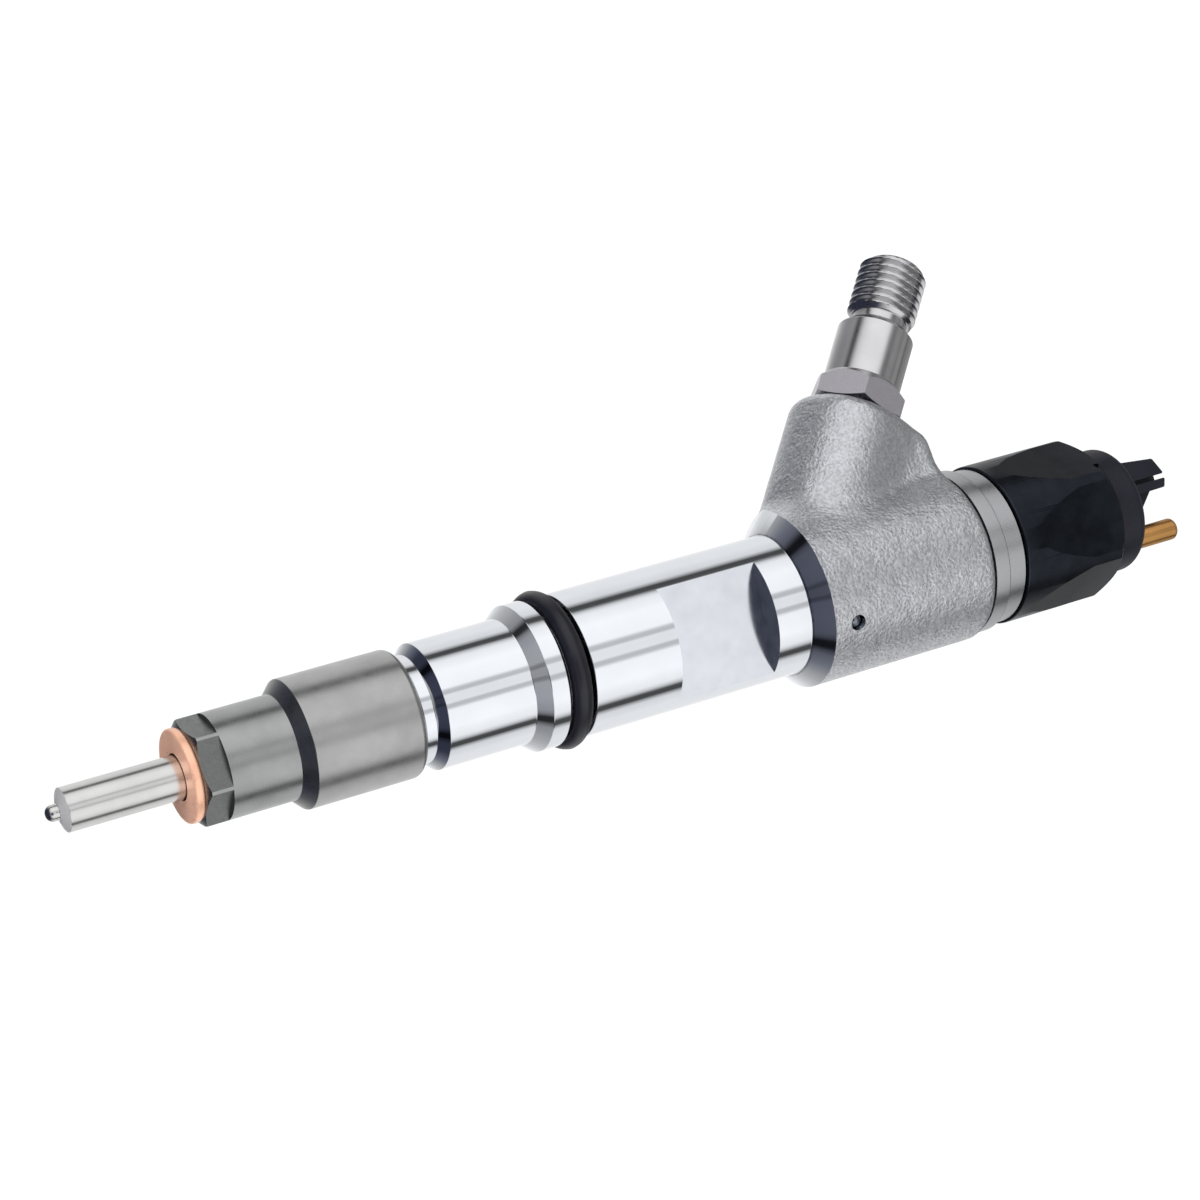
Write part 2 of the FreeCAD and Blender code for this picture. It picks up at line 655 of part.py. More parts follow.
# ---- pilot valve ------------------------------------------------------------------------------
def valve_body():
    front_x = valve_bore_x + SEAL_RING_THICK
    outside = turned(
        (front_x, valve_bore_r - LOOSE_GAP),
        (valve_step_x, valve_bore_r - LOOSE_GAP),
        (valve_step_x, valve_flange_r),
        (valve_face_x, valve_flange_r, 0.4),
    )
    bore = turned(
        (front_x - 1, PISTON_GUIDE_R + GUIDE_GAP),
        (control_chamber_x, PISTON_GUIDE_R + GUIDE_GAP),
        (control_chamber_x, THROTTLE_R),
        (valve_face_x - BALL_SEAT_MOUTH_R + THROTTLE_R, THROTTLE_R),
        (valve_face_x, BALL_SEAT_MOUTH_R),
    )
    feed_x = (piston_rear_x + NEEDLE_LIFT + control_chamber_x) / 2
    feed = Part.makeCylinder(THROTTLE_R, valve_bore_r, Vector(feed_x, 0, 0), Vector(0, 1, 0))
    return cut_all(outside, [bore, feed])


def valve_seal_ring():
    outer = duct_offset - DUCT_R - LOOSE_GAP
    return ring(valve_bore_x, valve_bore_x + SEAL_RING_THICK, PISTON_BORE_R + 0.4, outer)


def valve_ball():
    ball = Part.makeSphere(BALL_R)
    ball.translate(Vector(ball_x, 0, 0))
    return ball


def ball_holder():
    holder = turned((holder_x, BALL_HOLDER_R), (armature_pin_x, BALL_HOLDER_R, 0.3))
    socket = Part.makeSphere(BALL_R + SEAT_GAP, Vector(ball_x, 0, 0))
    return holder.cut(socket)


def stroke_shim():
    return ring(valve_face_x, guide_flange_x, valve_flange_r - 2.4, valve_flange_r - LOOSE_GAP)


def armature_guide():
    tube_x = guide_flange_x + GUIDE_FLANGE_THICK
    outside = turned(
        (guide_flange_x, valve_flange_r - LOOSE_GAP),
        (tube_x, valve_flange_r - LOOSE_GAP),
        (tube_x, GUIDE_TUBE_R),
        (guide_tube_x, GUIDE_TUBE_R, 0.4),
    )
    recess_x = armature_pin_x + VALVE_LIFT + MOVE_GAP
    recess = rod(guide_flange_x - 1, recess_x, BALL_HOLDER_R + 0.4)
    bore = rod(recess_x - 1, guide_tube_x + 1, ARMATURE_PIN_R + GUIDE_GAP)
    drain = rod(guide_flange_x - 1, tube_x + 1, 0.8, z=(GUIDE_TUBE_R + valve_flange_r) / 2)
    return cut_all(outside, [recess, bore] + around(drain, 4, 45))


def valve_clamp_screw():
    start = guide_flange_x + GUIDE_FLANGE_THICK
    screw = ring(start, clamp_rear_x, GUIDE_TUBE_R + 0.3, clamp_thread_r)
    slot = box(clamp_rear_x - 1.6, clamp_rear_x + 1, -0.9, 0.9, GUIDE_TUBE_R, clamp_thread_r + 1)
    drain = rod(start - 1, clamp_rear_x + 1, 0.8, z=(GUIDE_TUBE_R + valve_flange_r) / 2)
    return cut_all(screw, around(slot, 4) + around(drain, 4, 45))


def armature_pin():
    return turned(
        (armature_pin_x, ARMATURE_PIN_R - 0.2),
        (armature_pin_x + 0.2, ARMATURE_PIN_R),
        (clip_top_x, ARMATURE_PIN_R),
        (clip_top_x, ARMATURE_PIN_HEAD_R),
        (armature_pin_rear_x, ARMATURE_PIN_HEAD_R, 0.2),
    )


def armature_spring():
    middle_r = ARMATURE_PIN_R + 0.6
    return spring(guide_tube_x + 0.02, plate_bottom_x - 0.02, middle_r, 0.25, 2)


def armature_plate():
    plate = turned(
        (plate_bottom_x, armature_plate_r, 0.4),
        (plate_top_x, armature_plate_r, 0.4),
    )
    hole = rod(plate_bottom_x - 1, plate_top_x + 1, ARMATURE_PIN_R + MOVE_GAP)
    reach = armature_plate_r / 2
    slot = box(plate_bottom_x - 1, plate_top_x + 1, -0.9, 0.9, reach, armature_plate_r + 1)
    return cut_all(plate, [hole] + around(slot, ARMATURE_SLOTS, 45))


def armature_lock_clip():
    start = plate_top_x + SEAT_GAP
    clip = ring(start, clip_top_x, ARMATURE_PIN_R, LOCK_CLIP_R)
    mouth = ARMATURE_PIN_R - 0.1
    return clip.cut(box(start - 1, clip_top_x + 1, -mouth, mouth, 0, LOCK_CLIP_R + 1))


# ---- solenoid ---------------------------------------------------------------------------------
housing_r = magnet_bore_r - LOOSE_GAP
housing_flange_r = tail_thread_r - HOUSING_FLANGE_GAP
core_r = housing_r - HOUSING_WALL
coil_slot_outer_r = core_r - CORE_WALL
shim_seat_x = core_rear_x - SOLENOID_SHIM_THICK - 0.3
lead_hole_r = LEAD_R + 0.4


def air_gap_shim():
    return ring(shim_x, core_x, clamp_thread_r + 0.2, magnet_bore_r - LOOSE_GAP)


def solenoid_housing():
    sleeve = turned(
        (core_x, housing_r, 0.3),
        (housing_flange_x, housing_r),
        (housing_flange_x, housing_flange_r),
        (housing_rear_x, housing_flange_r, 0.4),
    )
    return sleeve.cut(rod(core_x - 1, housing_rear_x + 1, core_r))


def lead_places():
    return [(side * PIN_HALF_SPACING, -PIN_DROP) for side in (-1, 1)]


def solenoid_core():
    core = rod(core_x, core_rear_x, core_r)
    slot = ring(core_x - 1, core_x + COIL_SLOT_DEPTH, COIL_SLOT_INNER_R, coil_slot_outer_r)
    hole = rod(core_x - 1, core_rear_x + 1, CORE_HOLE_R)
    leads = [clocked(rod(core_x, core_rear_x + 1, lead_hole_r, y, z), TERMINAL_CLOCK)
             for y, z in lead_places()]
    return cut_all(core, [slot, hole] + leads)


bobbin_x = core_x + 0.2
bobbin_rear_x = core_x + COIL_SLOT_DEPTH - 0.1
bobbin_inner_r = COIL_SLOT_INNER_R + LOOSE_GAP
bobbin_outer_r = coil_slot_outer_r - LOOSE_GAP


def coil_bobbin():
    blank = ring(bobbin_x, bobbin_rear_x, bobbin_inner_r, bobbin_outer_r)
    window = ring(bobbin_x + BOBBIN_WALL, bobbin_rear_x - BOBBIN_WALL,
                  bobbin_inner_r + BOBBIN_WALL, bobbin_outer_r + 1)
    return blank.cut(window)


def solenoid_coil():
    return ring(bobbin_x + BOBBIN_WALL, bobbin_rear_x - BOBBIN_WALL,
                bobbin_inner_r + BOBBIN_WALL, bobbin_outer_r - 0.3)


def solenoid_spring():
    middle_r = ARMATURE_PIN_HEAD_R - SOLENOID_SPRING_WIRE_R - 0.1
    return spring(armature_pin_rear_x + 0.02, shim_seat_x, middle_r, SOLENOID_SPRING_WIRE_R,
                  SOLENOID_SPRING_TURNS)


def solenoid_spring_shim():
    return rod(shim_seat_x, shim_seat_x + SOLENOID_SHIM_THICK, CORE_HOLE_R - LOOSE_GAP)


# ---- solenoid nut -----------------------------------------------------------------------------
tail_ring_groove_r = tail_nut_skirt_r - 2 * TAIL_RING_WIRE_R - SEAT_GAP


def solenoid_nut():
    outside = turned(
        (nut_front_x, tail_nut_r, 0.4),
        (tail_nut_rear_x - TAIL_NUT_CHAMFER, tail_nut_r),
        (tail_nut_rear_x, tail_nut_r - TAIL_NUT_CHAMFER),
    )
    bore = turned(
        (nut_front_x - 1, tail_nut_skirt_r),
        (nut_front_x + TAIL_NUT_SKIRT_LENGTH, tail_nut_skirt_r),
        (nut_front_x + TAIL_NUT_SKIRT_LENGTH, tail_thread_r + THREAD_GAP),
        (housing_rear_x, tail_thread_r + THREAD_GAP),
        (housing_rear_x, cap_r + LOOSE_GAP),
        (tail_nut_rear_x + 1, cap_r + LOOSE_GAP),
    )
    high = tail_nut_r + 2
    facet = outline([
        (nut_front_x + TAIL_NUT_FACET_START, tail_nut_r),
        (nut_front_x + TAIL_NUT_FACET_FULL, tail_nut_hex_af / 2),
        (tail_nut_rear_x + 1, tail_nut_hex_af / 2),
        (tail_nut_rear_x + 1, high),
        (nut_front_x + TAIL_NUT_FACET_START, high),
    ]).extrude(Vector(0, 2 * high, 0))
    facet.translate(Vector(0, -high, 0))
    notch = box(tail_nut_rear_x - TAIL_NUT_NOTCH, tail_nut_rear_x + 1,
                -TAIL_NUT_NOTCH / 2, TAIL_NUT_NOTCH / 2, cap_r, high)
    notches = around(notch, 2, TAIL_NUT_HEX_CLOCK + 40)
    return cut_all(outside, [bore] + notches + around(facet, 6, TAIL_NUT_HEX_CLOCK))


def solenoid_o_ring():
    middle_r = tail_nut_skirt_r - SEAT_GAP / 2 - TAIL_RING_WIRE_R
    return torus(step_rear_x + TAIL_RING_WIRE_R + 0.6, middle_r, TAIL_RING_WIRE_R)


# ---- terminal cap and pins --------------------------------------------------------------------
pin_root_x = housing_rear_x + 0.4
pin_end_x = cap_rear_x + PIN_STAND_OUT


def key_post():
    """T-shaped key between the terminals, with a gusseted web down to the cap's face."""
    root_x = cap_rear_x - 1.0
    end_x = cap_rear_x + POST_LENGTH
    wide = POST_HALF_WIDTH
    thin = POST_WEB_HALF_THICK
    head = outline([(root_x, POST_GROOVE_TOP), (root_x, POST_TOP + 0.6),
                    (end_x - 1.6, POST_TOP - 0.4, 0.5), (end_x, POST_GROOVE_TOP)])
    lip = outline([(root_x, POST_BOTTOM), (root_x, POST_GROOVE_BOTTOM),
                   (end_x, POST_GROOVE_BOTTOM), (end_x - 0.6, POST_BOTTOM + 0.2, 0.4)])
    web = outline([(root_x, -PIN_DROP - 0.8), (cap_rear_x + 0.4, -PIN_DROP - 0.8),
                   (end_x - 1.9, POST_BOTTOM), (end_x - 0.6, POST_GROOVE_BOTTOM),
                   (end_x - 0.6, POST_TOP - 1.2), (root_x, POST_TOP - 0.4)])
    solids = []
    for face, half in ((head, wide), (lip, wide), (web, thin)):
        solid = face.extrude(Vector(0, 2 * half, 0))
        solid.translate(Vector(0, -half, 0))
        solids.append(solid)
    return clocked(solids[0].fuse(solids[1:]), TERMINAL_CLOCK)


def terminal_cap():
    outside = turned(
        (shim_seat_x + SOLENOID_SHIM_THICK + 0.1, CORE_HOLE_R - LOOSE_GAP),
        (core_rear_x, CORE_HOLE_R - LOOSE_GAP),
        (core_rear_x, core_r),
        (housing_rear_x, core_r),
        (housing_rear_x, cap_r),
        (cap_rear_x, cap_r, CAP_ROUND),
    )
    pins = []
    for y, z in lead_places():
        root = rod(pin_root_x, cap_rear_x + 1, PIN_ROOT_R, y, z)
        lead = rod(core_rear_x - 1, pin_root_x + 0.1, LEAD_R, y, z)
        pins += [clocked(root, TERMINAL_CLOCK), clocked(lead, TERMINAL_CLOCK)]
    return cut_all(outside.fuse(key_post()), pins)


def terminal_pin(y, z):
    pin = turned(
        (bobbin_rear_x, LEAD_R),
        (pin_root_x, LEAD_R),
        (pin_root_x, PIN_ROOT_R),
        (cap_rear_x, PIN_ROOT_R),
        (cap_rear_x, PIN_R),
        (pin_end_x, PIN_R, PIN_END_ROUND),
    )
    pin.translate(Vector(0, y, z))
    return clocked(pin, TERMINAL_CLOCK)


# ---- inlet arm --------------------------------------------------------------------------------
def inlet_connector():
    hex_corner_r = INLET_HEX_AF / math.sqrt(3)
    outside = turned(
        (seat_s, INLET_NOSE_R - 0.6),
        (seat_s + 0.6, INLET_NOSE_R),
        (root_s + LOOSE_GAP, INLET_NOSE_R),
        (root_s + LOOSE_GAP, INLET_THREAD_R - 0.8),
        (root_s + 0.8 + LOOSE_GAP, INLET_THREAD_R),
        (BOSS_LENGTH - 1.0, INLET_THREAD_R),
        (BOSS_LENGTH - 0.6, INLET_THREAD_R - 0.8),
        (hex_s, INLET_THREAD_R - 0.8),
        (hex_s, INLET_HEX_AF / 2 - 0.1),
        (hex_s + 0.5, hex_corner_r),
        (sleeve_s - (hex_corner_r - inlet_sleeve_r), hex_corner_r),
        (sleeve_s, inlet_sleeve_r),
        (relief_s - INLET_SLEEVE_CHAMFER, inlet_sleeve_r),
        (relief_s, inlet_relief_r + 0.4),
        (relief_s, inlet_relief_r),
        (thread_s, inlet_relief_r),
        (thread_s + 0.8, INLET_THREAD_R),
        (inlet_end_s - 1.2, INLET_THREAD_R),
        (inlet_end_s, INLET_THREAD_R - 1.2),
    )
    beyond = ring(hex_s, sleeve_s, 0.1, hex_corner_r + 2)
    flats = beyond.cut(hexagon(hex_s - 1, sleeve_s + 1, INLET_HEX_AF, INLET_HEX_CLOCK))
    bore = turned(
        (seat_s - 1, INLET_DUCT_R),
        (filter_s, INLET_DUCT_R),
        (filter_s, INLET_BORE_R),
        (inlet_end_s - 3.0, INLET_BORE_R),
        (inlet_end_s + 0.1, INLET_MOUTH_R),
    )
    return in_arm(cut_all(outside, [flats, bore]))


def inlet_edge_filter():
    """Bar filter pressed into the connector, with staggered flutes on its sides."""
    end = filter_s + FILTER_LENGTH
    bar = turned((filter_s, INLET_BORE_R, 0.3), (end, INLET_BORE_R, 0.3))
    flutes = []
    for index, flute in enumerate(around(rod(0, FILTER_LENGTH, 0.4, z=INLET_BORE_R), 6)):
        shift = -2.0 if index % 2 else 2.0
        flute.translate(Vector(filter_s + shift, 0, 0))
        flutes.append(flute)
    return in_arm(cut_all(bar, flutes))


def inlet_seat_ring():
    return in_arm(ring(seat_s - SEAT_RING_THICK, seat_s, INLET_DUCT_R + 0.2, INLET_NOSE_R))


# ---- the list of pieces -----------------------------------------------------------------------
near_pin, far_pin = lead_places()
PIECES = {
    "injector_body": injector_body(),
    "nozzle_body": nozzle_body(),
    "nozzle_needle": nozzle_needle(),
    "nozzle_stop_plate": nozzle_stop_plate(),
    "locating_dowels": locating_dowels(),
    "nozzle_retaining_nut": nozzle_retaining_nut(),
    "copper_washer": copper_washer(),
    "drilling_plug_ball": drilling_plug_ball(),
    "body_o_ring": body_o_ring(),
    "pressure_pin": pressure_pin(),
    "nozzle_spring": nozzle_spring(),
    "nozzle_spring_shim": nozzle_spring_shim(),
    "control_piston": control_piston(),
    "valve_body": valve_body(),
    "valve_seal_ring": valve_seal_ring(),
    "valve_ball": valve_ball(),
    "ball_holder": ball_holder(),
    "stroke_shim": stroke_shim(),
    "armature_guide": armature_guide(),
    "valve_clamp_screw": valve_clamp_screw(),
    "armature_pin": armature_pin(),
    "armature_spring": armature_spring(),
    "armature_plate": armature_plate(),
    "armature_lock_clip": armature_lock_clip(),
    "air_gap_shim": air_gap_shim(),
    "solenoid_housing": solenoid_housing(),
    "solenoid_core": solenoid_core(),
    "coil_bobbin": coil_bobbin(),
    "solenoid_coil": solenoid_coil(),
    "solenoid_spring": solenoid_spring(),
    "solenoid_spring_shim": solenoid_spring_shim(),
    "solenoid_nut": solenoid_nut(),
    "solenoid_o_ring": solenoid_o_ring(),
    "terminal_cap": terminal_cap(),
    "terminal_pin_near": terminal_pin(*near_pin),
    "terminal_pin_far": terminal_pin(*far_pin),
    "inlet_connector": inlet_connector(),
    "inlet_edge_filter": inlet_edge_filter(),
    "inlet_seat_ring": inlet_seat_ring(),
}

os.makedirs("parts", exist_ok=True)
for name, piece in PIECES.items():
    if not piece.isValid() or piece.Volume <= 0:
        raise ValueError(name + " is not a valid solid")
    piece.exportStep("parts/" + name + ".step")
    size = piece.BoundBox
    print("%-22s %8.1f mm3, %d solid, x %.2f to %.2f, y %.2f to %.2f, z %.2f to %.2f" % (
        name, piece.Volume, len(piece.Solids),
        size.XMin, size.XMax, size.YMin, size.YMax, size.ZMin, size.ZMax))
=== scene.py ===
import math

import bmesh
import bpy
import numpy as np
from mathutils import Matrix, Vector, noise


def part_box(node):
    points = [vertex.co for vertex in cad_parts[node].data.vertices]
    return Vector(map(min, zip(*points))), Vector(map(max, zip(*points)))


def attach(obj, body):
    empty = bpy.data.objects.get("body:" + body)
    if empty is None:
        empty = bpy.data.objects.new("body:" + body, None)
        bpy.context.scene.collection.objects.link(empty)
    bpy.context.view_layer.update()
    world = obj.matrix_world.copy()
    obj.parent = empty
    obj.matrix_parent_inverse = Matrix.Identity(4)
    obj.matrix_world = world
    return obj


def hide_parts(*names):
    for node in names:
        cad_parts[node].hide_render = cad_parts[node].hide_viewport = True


# Looks of a diesel fuel injector. Lengths in this file are millimetres until a mesh is made, which is in
# metres. +X runs from the spray tip to the terminals and +Z is the side of the inlet arm. A clock angle is
# measured about the X axis from +Z towards +Y.

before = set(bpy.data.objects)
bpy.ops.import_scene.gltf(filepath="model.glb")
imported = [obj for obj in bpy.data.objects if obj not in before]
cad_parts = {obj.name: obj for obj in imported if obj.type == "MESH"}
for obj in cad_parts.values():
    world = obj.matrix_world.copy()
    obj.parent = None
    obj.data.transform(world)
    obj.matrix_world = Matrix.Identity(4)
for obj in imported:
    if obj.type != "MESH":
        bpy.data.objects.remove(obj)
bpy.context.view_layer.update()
MM = 0.001


def span(node):
    """Lowest and highest corner of a CAD node, in millimetres."""
    low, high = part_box(node)
    return low / MM, high / MM


# ---- places taken from the CAD nodes ------------------------------------------------------------
nozzle_low, nozzle_high = span("nozzle_body")
nut_low, nut_high = span("nozzle_retaining_nut")
ring_low, ring_high = span("body_o_ring")
tail_nut_low, tail_nut_high = span("solenoid_nut")
cap_rear_x = span("terminal_cap")[1].x
barrel_r = span("injector_body")[1].y
tip_x = nozzle_low.x

# ---- sizes of the shapes built here, mostly the CAD model's own ---------------------------------
# Nozzle, with its needle bore, gallery, sac and spray holes
SHANK_R = 3.5
SHANK_LENGTH = 18.3
SHANK_RELIEF = 0.2
CONE_LENGTH = 0.9
SAC_R = 1.3
SAC_BORE_R = 0.55
SAC_WALL = 0.95
SEAT_LENGTH = 1.15
NEEDLE_BORE_R = 1.7
NEEDLE_GUIDE_R = 2.0
GALLERY_R = 3.1
GALLERY_X = (10.0, 13.0)
COLLAR_R = 7.15
SHOULDER_X = 6.0
SPRAY_HOLES = 6
SPRAY_HOLE_R = 0.085
SPRAY_TILT = 75.0
SPRAY_CLOCK = 20.0
SPRAY_FORWARD = 0.75

# Copper washer
WASHER_R = 7.5
WASHER_BORE_R = 3.75
WASHER_THICK = 1.5

# Nozzle retaining nut
NUT_HEX_AF = 15.0
NUT_HEX_CLOCK = -95.0
NUT_HEX_REAR_X = 5.7
NUT_SMALL_R = 8.5
NUT_SMALL_REAR_X = 16.9
NUT_FRONT_BORE_R = 3.6
NUT_BORE_R = 7.25
NUT_BORE_REAR_X = 21.0
NUT_THREAD_R = 9.05
NUT_THREAD_X = 22.0

# Turned front of the injector body
BODY_FRONT_X = 26.7
BODY_THREAD_R = 9.0
BODY_THREAD_REAR_X = 36.2
SPRING_CHAMBER_R = 3.8
SPRING_CHAMBER_REAR_X = 46.7
PISTON_BORE_R = 2.55
NECK_R = 8.8
NECK_LENGTH = 2.0
COLLAR_FRONT_R = 10.35
COLLAR_FRONT_LENGTH = 15.1
FLANGE_R = 12.1
FLANGE_CONE_LENGTH = 2.25
FLANGE_LENGTH = 3.05
RING_GROOVE_R = 9.6
RING_GROOVE_LENGTH = 4.7
BODY_R = 11.95
BODY_LENGTH = 40.3
FLATS_START = 15.7
FLATS_LENGTH = 18.4
FLATS_AF = 15.0
FLATS_CLOCK = -109.0
RETURN_PORT_R = 1.5
RETURN_PORT_BACK = 8.0
RETURN_PORT_CLOCK = 150.0

# Forged barrel, boss and web, with the bores for the valve, clamp screw, solenoid, duct and connector
BARREL_LENGTH = 32.6
ARM_ANGLE = 52.0
ARM_CROSSING = 5.5
BOSS_R = 10.7
BOSS_LENGTH = 34.3
WEB_HALF_THICK = 8.0
PLUG_R = 1.35
PLUG_DEPTH = 3.2
PLUG_BEHIND_CONE = 4.3
PLUG_CLOCK = -124.0
VALVE_BORE_R = 6.0
VALVE_BORE_X = 123.95
CLAMP_BORE_R = 8.1
CLAMP_BORE_X = 132.95
SOLENOID_BORE_R = 9.6
SOLENOID_BORE_X = 138.3
DUCT_R = 1.0
DUCT_S = 6.0
CONNECTOR_NOSE_BORE_R = 3.3
CONNECTOR_NOSE_BORE_S = 12.5
CONNECTOR_BORE_R = 6.05
CONNECTOR_BORE_S = 16.3

# Rings and thread at the rear of the body
LAND_R = 14.2
LAND_LENGTH = 2.9
STEP_R = 13.5
STEP_LENGTH = 3.6
TAIL_BORE_R = 9.65
TAIL_SEAT_R = 11.0
TAIL_SEAT_X = 149.0
TAIL_NECK_R = 11.6
TAIL_THREAD_R = 12.5
TAIL_THREAD_X = (151.0, 157.25)

# Solenoid nut
TAIL_NUT_R = 13.95
TAIL_NUT_CHAMFER = 1.5
TAIL_NUT_MOUTH_R = 11.1
TAIL_NUT_MOUTH_X = 160.25
TAIL_NUT_THREAD_R = 12.55
TAIL_NUT_RELIEF_R = 13.05
TAIL_NUT_RELIEF_LENGTH = 3.1
TAIL_NUT_HEX_AF = 25.0
TAIL_NUT_HEX_CLOCK = -103.0
TAIL_NUT_TAPER_START = 3.0
TAIL_NUT_TAPER_LENGTH = 11.2
NOTCH_DEPTH = 1.6
NOTCH_HALF_WIDTH = 0.8
NOTCH_CLOCK = -63.0

# Terminal cap, its key post and the pins. Heights are from the cap's axis towards the post.
CAP_R = 10.95
CAP_FRONT_R = 9.0
CAP_FRONT_X = 160.4
CAP_FACE_X = 176.85
CAP_ROUND = 1.8
TERMINAL_CLOCK = -7.6
POST_HALF_WIDTH = 4.2
POST_WEB_HALF_WIDTH = 1.2
HEAD_HEIGHTS = (3.4, 7.4)
HEAD_END_HEIGHT = 6.4
HEAD_SLOPE = 1.6
LIP_HEIGHTS = (0.8, 2.6)
LIP_END_HEIGHT = 1.0
LIP_SLOPE = 0.6
WEB_HEIGHTS = (-7.2, 6.4)
WEB_END_HEIGHTS = (2.6, 5.6)
WEB_END_BACK = 0.1
WEB_FOOT_BACK = 1.9
PIN_R = 1.9
PIN_ROOT_R = 1.5
PIN_FRONT_X = 176.0
PIN_STEP_X = 176.9
PIN_END_ROUND = 0.9

# Inlet connector. A name that ends in _S is a distance along the arm from the body's axis.
NOSE_R = 3.2
NOSE_S = 13.3
ROOT_R = 6.0
ROOT_S = 16.4
ROOT_GROOVE_R = 5.2
INLET_HEX_AF = 15.0
INLET_HEX_CLOCK = -106.0
INLET_HEX_CORNER_R = 8.66
INLET_HEX_S = 35.2
SLEEVE_R = 6.7
SLEEVE_S = 40.8
RELIEF_R = 4.9
RELIEF_S = 52.4
THREAD_S = 54.0
THREAD_PITCH = 1.5
THREAD_DEPTH = 0.92
THREAD_LEAD_IN = 1.2
INLET_THREAD_R = 6.0
INLET_END_S = 64.8
INLET_BORE_R = 1.0
FILTER_BORE_R = 2.05
FILTER_BORE_S = 20.3
MOUTH_R = 3.6
MOUTH_DEPTH = 3.0

# Camera, lamp, tent and floor. Places and directions are in metres.
LENS = 91.31
CAMERA_AT = (-0.13504, -0.44237, -0.05881)
CAMERA_RIGHT = Vector((0.87044, -0.36681, -0.32830))
CAMERA_UP = Vector((0.24329, -0.25921, 0.93468))
CAMERA_FORWARD = Vector((0.42794, 0.89346, 0.13639))
LAMP_AT = Vector((-0.62, -0.50, 0.45))
LAMP_AIM = Vector((0.08, 0, 0))
LAMP_SIZE = (0.8, 0.5)
LAMP_ENERGY = 11.0
FLOOR_Z = -170.0
FLOOR_HALF = 2500
FLOOR_GLOW = 0.8

# The tent's brightness. TENT_BY_CLOCK goes by clock angle, in degrees each way from FRONT_CLOCK. TENT_BY_TIP
# and TENT_BY_TAIL go from 0 at the spray tip's side to 1 at the terminals' side, along their weights.
# TENT_BY_CAMERA_SIDE goes by the cosine of the angle from CAMERA_SIDE, where a dark camera would stand.
TENT_STRENGTH = 1.16
BACKDROP_STRENGTH = 1.05
FRONT_CLOCK = -97.6
TENT_BY_CLOCK = [
    (0, 0.80), (7, 0.82), (10, 0.52), (15, 0.54), (20, 0.96), (50, 1.0), (71, 0.86), (77, 0.60),
    (83, 0.07), (91, 0.06), (95, 0.36), (101, 0.70), (120, 0.80), (150, 0.78), (180, 0.88),
]
NAVY = (0.04, 0.045, 0.07)
COOL_GREY = (0.20, 0.21, 0.25)
TIP_WEIGHTS = (0.5, -0.198, -0.026)
TENT_BY_TIP = [(0.0, NAVY), (0.15, NAVY), (0.20, COOL_GREY), (0.24, 0.42), (0.35, 0.8), (0.45, 1.0)]
TAIL_WEIGHTS = (0.5, 0.0, 0.0)
TENT_BY_TAIL = [(0.74, 1.0), (0.80, 0.25), (0.84, 0.25), (0.89, 0.4), (1.0, 0.3)]
CAMERA_SIDE = (-0.43, -0.84, -0.33)
TENT_BY_CAMERA_SIDE = [(0.925, 1.0), (0.965, NAVY)]

# ---- places that follow from the sizes ----------------------------------------------------------
neck_x = nut_high.x
collar_x = neck_x + NECK_LENGTH + COLLAR_FRONT_R - NECK_R
flange_cone_x = collar_x + COLLAR_FRONT_LENGTH
flange_x = flange_cone_x + FLANGE_CONE_LENGTH
groove_x = flange_x + FLANGE_LENGTH
groove_rear_x = groove_x + RING_GROOVE_LENGTH
barrel_cone_x = groove_rear_x + BODY_LENGTH
barrel_x = barrel_cone_x + barrel_r - BODY_R
barrel_rear_x = barrel_x + BARREL_LENGTH
land_rear_x = barrel_rear_x + LAND_LENGTH
step_rear_x = land_rear_x + STEP_LENGTH
arm_x = barrel_cone_x + ARM_CROSSING
arm_cos = math.cos(math.radians(ARM_ANGLE))
arm_sin = math.sin(math.radians(ARM_ANGLE))
IN_ARM = Matrix.Translation((arm_x * MM, 0, 0)) @ Matrix.Rotation(math.radians(-ARM_ANGLE), 4, "Y")


# ---- mesh helpers -------------------------------------------------------------------------------
def rounded(points, steps=9):
    """The closed outline with an arc at each corner whose third number is a radius."""
    made = []
    for index, point in enumerate(points):
        here = np.array(point[:2], float)
        if len(point) < 3:
            made.append(here)
            continue
        before = np.array(points[index - 1][:2], float) - here
        after = np.array(points[(index + 1) % len(points)][:2], float) - here
        before /= np.linalg.norm(before)
        after /= np.linalg.norm(after)
        half = math.acos(np.clip(before @ after, -1, 1)) / 2
        bisector = (before + after) / np.linalg.norm(before + after)
        centre = here + bisector * point[2] / math.sin(half)
        start = here + before * point[2] / math.tan(half) - centre
        turn = math.pi - 2 * half
        way = -1.0 if before[0] * after[1] - before[1] * after[0] > 0 else 1.0
        for step in range(steps + 1):
            angle = way * turn * step / steps
            cos, sin = math.cos(angle), math.sin(angle)
            made.append(centre + np.array([cos * start[0] - sin * start[1], sin * start[0] + cos * start[1]]))
    return made


def mesh_object(name, verts, faces):
    """A new object from millimetre vertices, with its normals facing out."""
    mesh = bpy.data.meshes.new(name)
    mesh.from_pydata([tuple(v) for v in np.asarray(verts, float) * MM], [], faces)
    bm = bmesh.new()
    bm.from_mesh(mesh)
    bmesh.ops.remove_doubles(bm, verts=bm.verts, dist=1e-8)
    bmesh.ops.recalc_face_normals(bm, faces=bm.faces)
    bm.to_mesh(mesh)
    bm.free()
    obj = bpy.data.objects.new(name, mesh)
    bpy.context.scene.collection.objects.link(obj)
    return obj


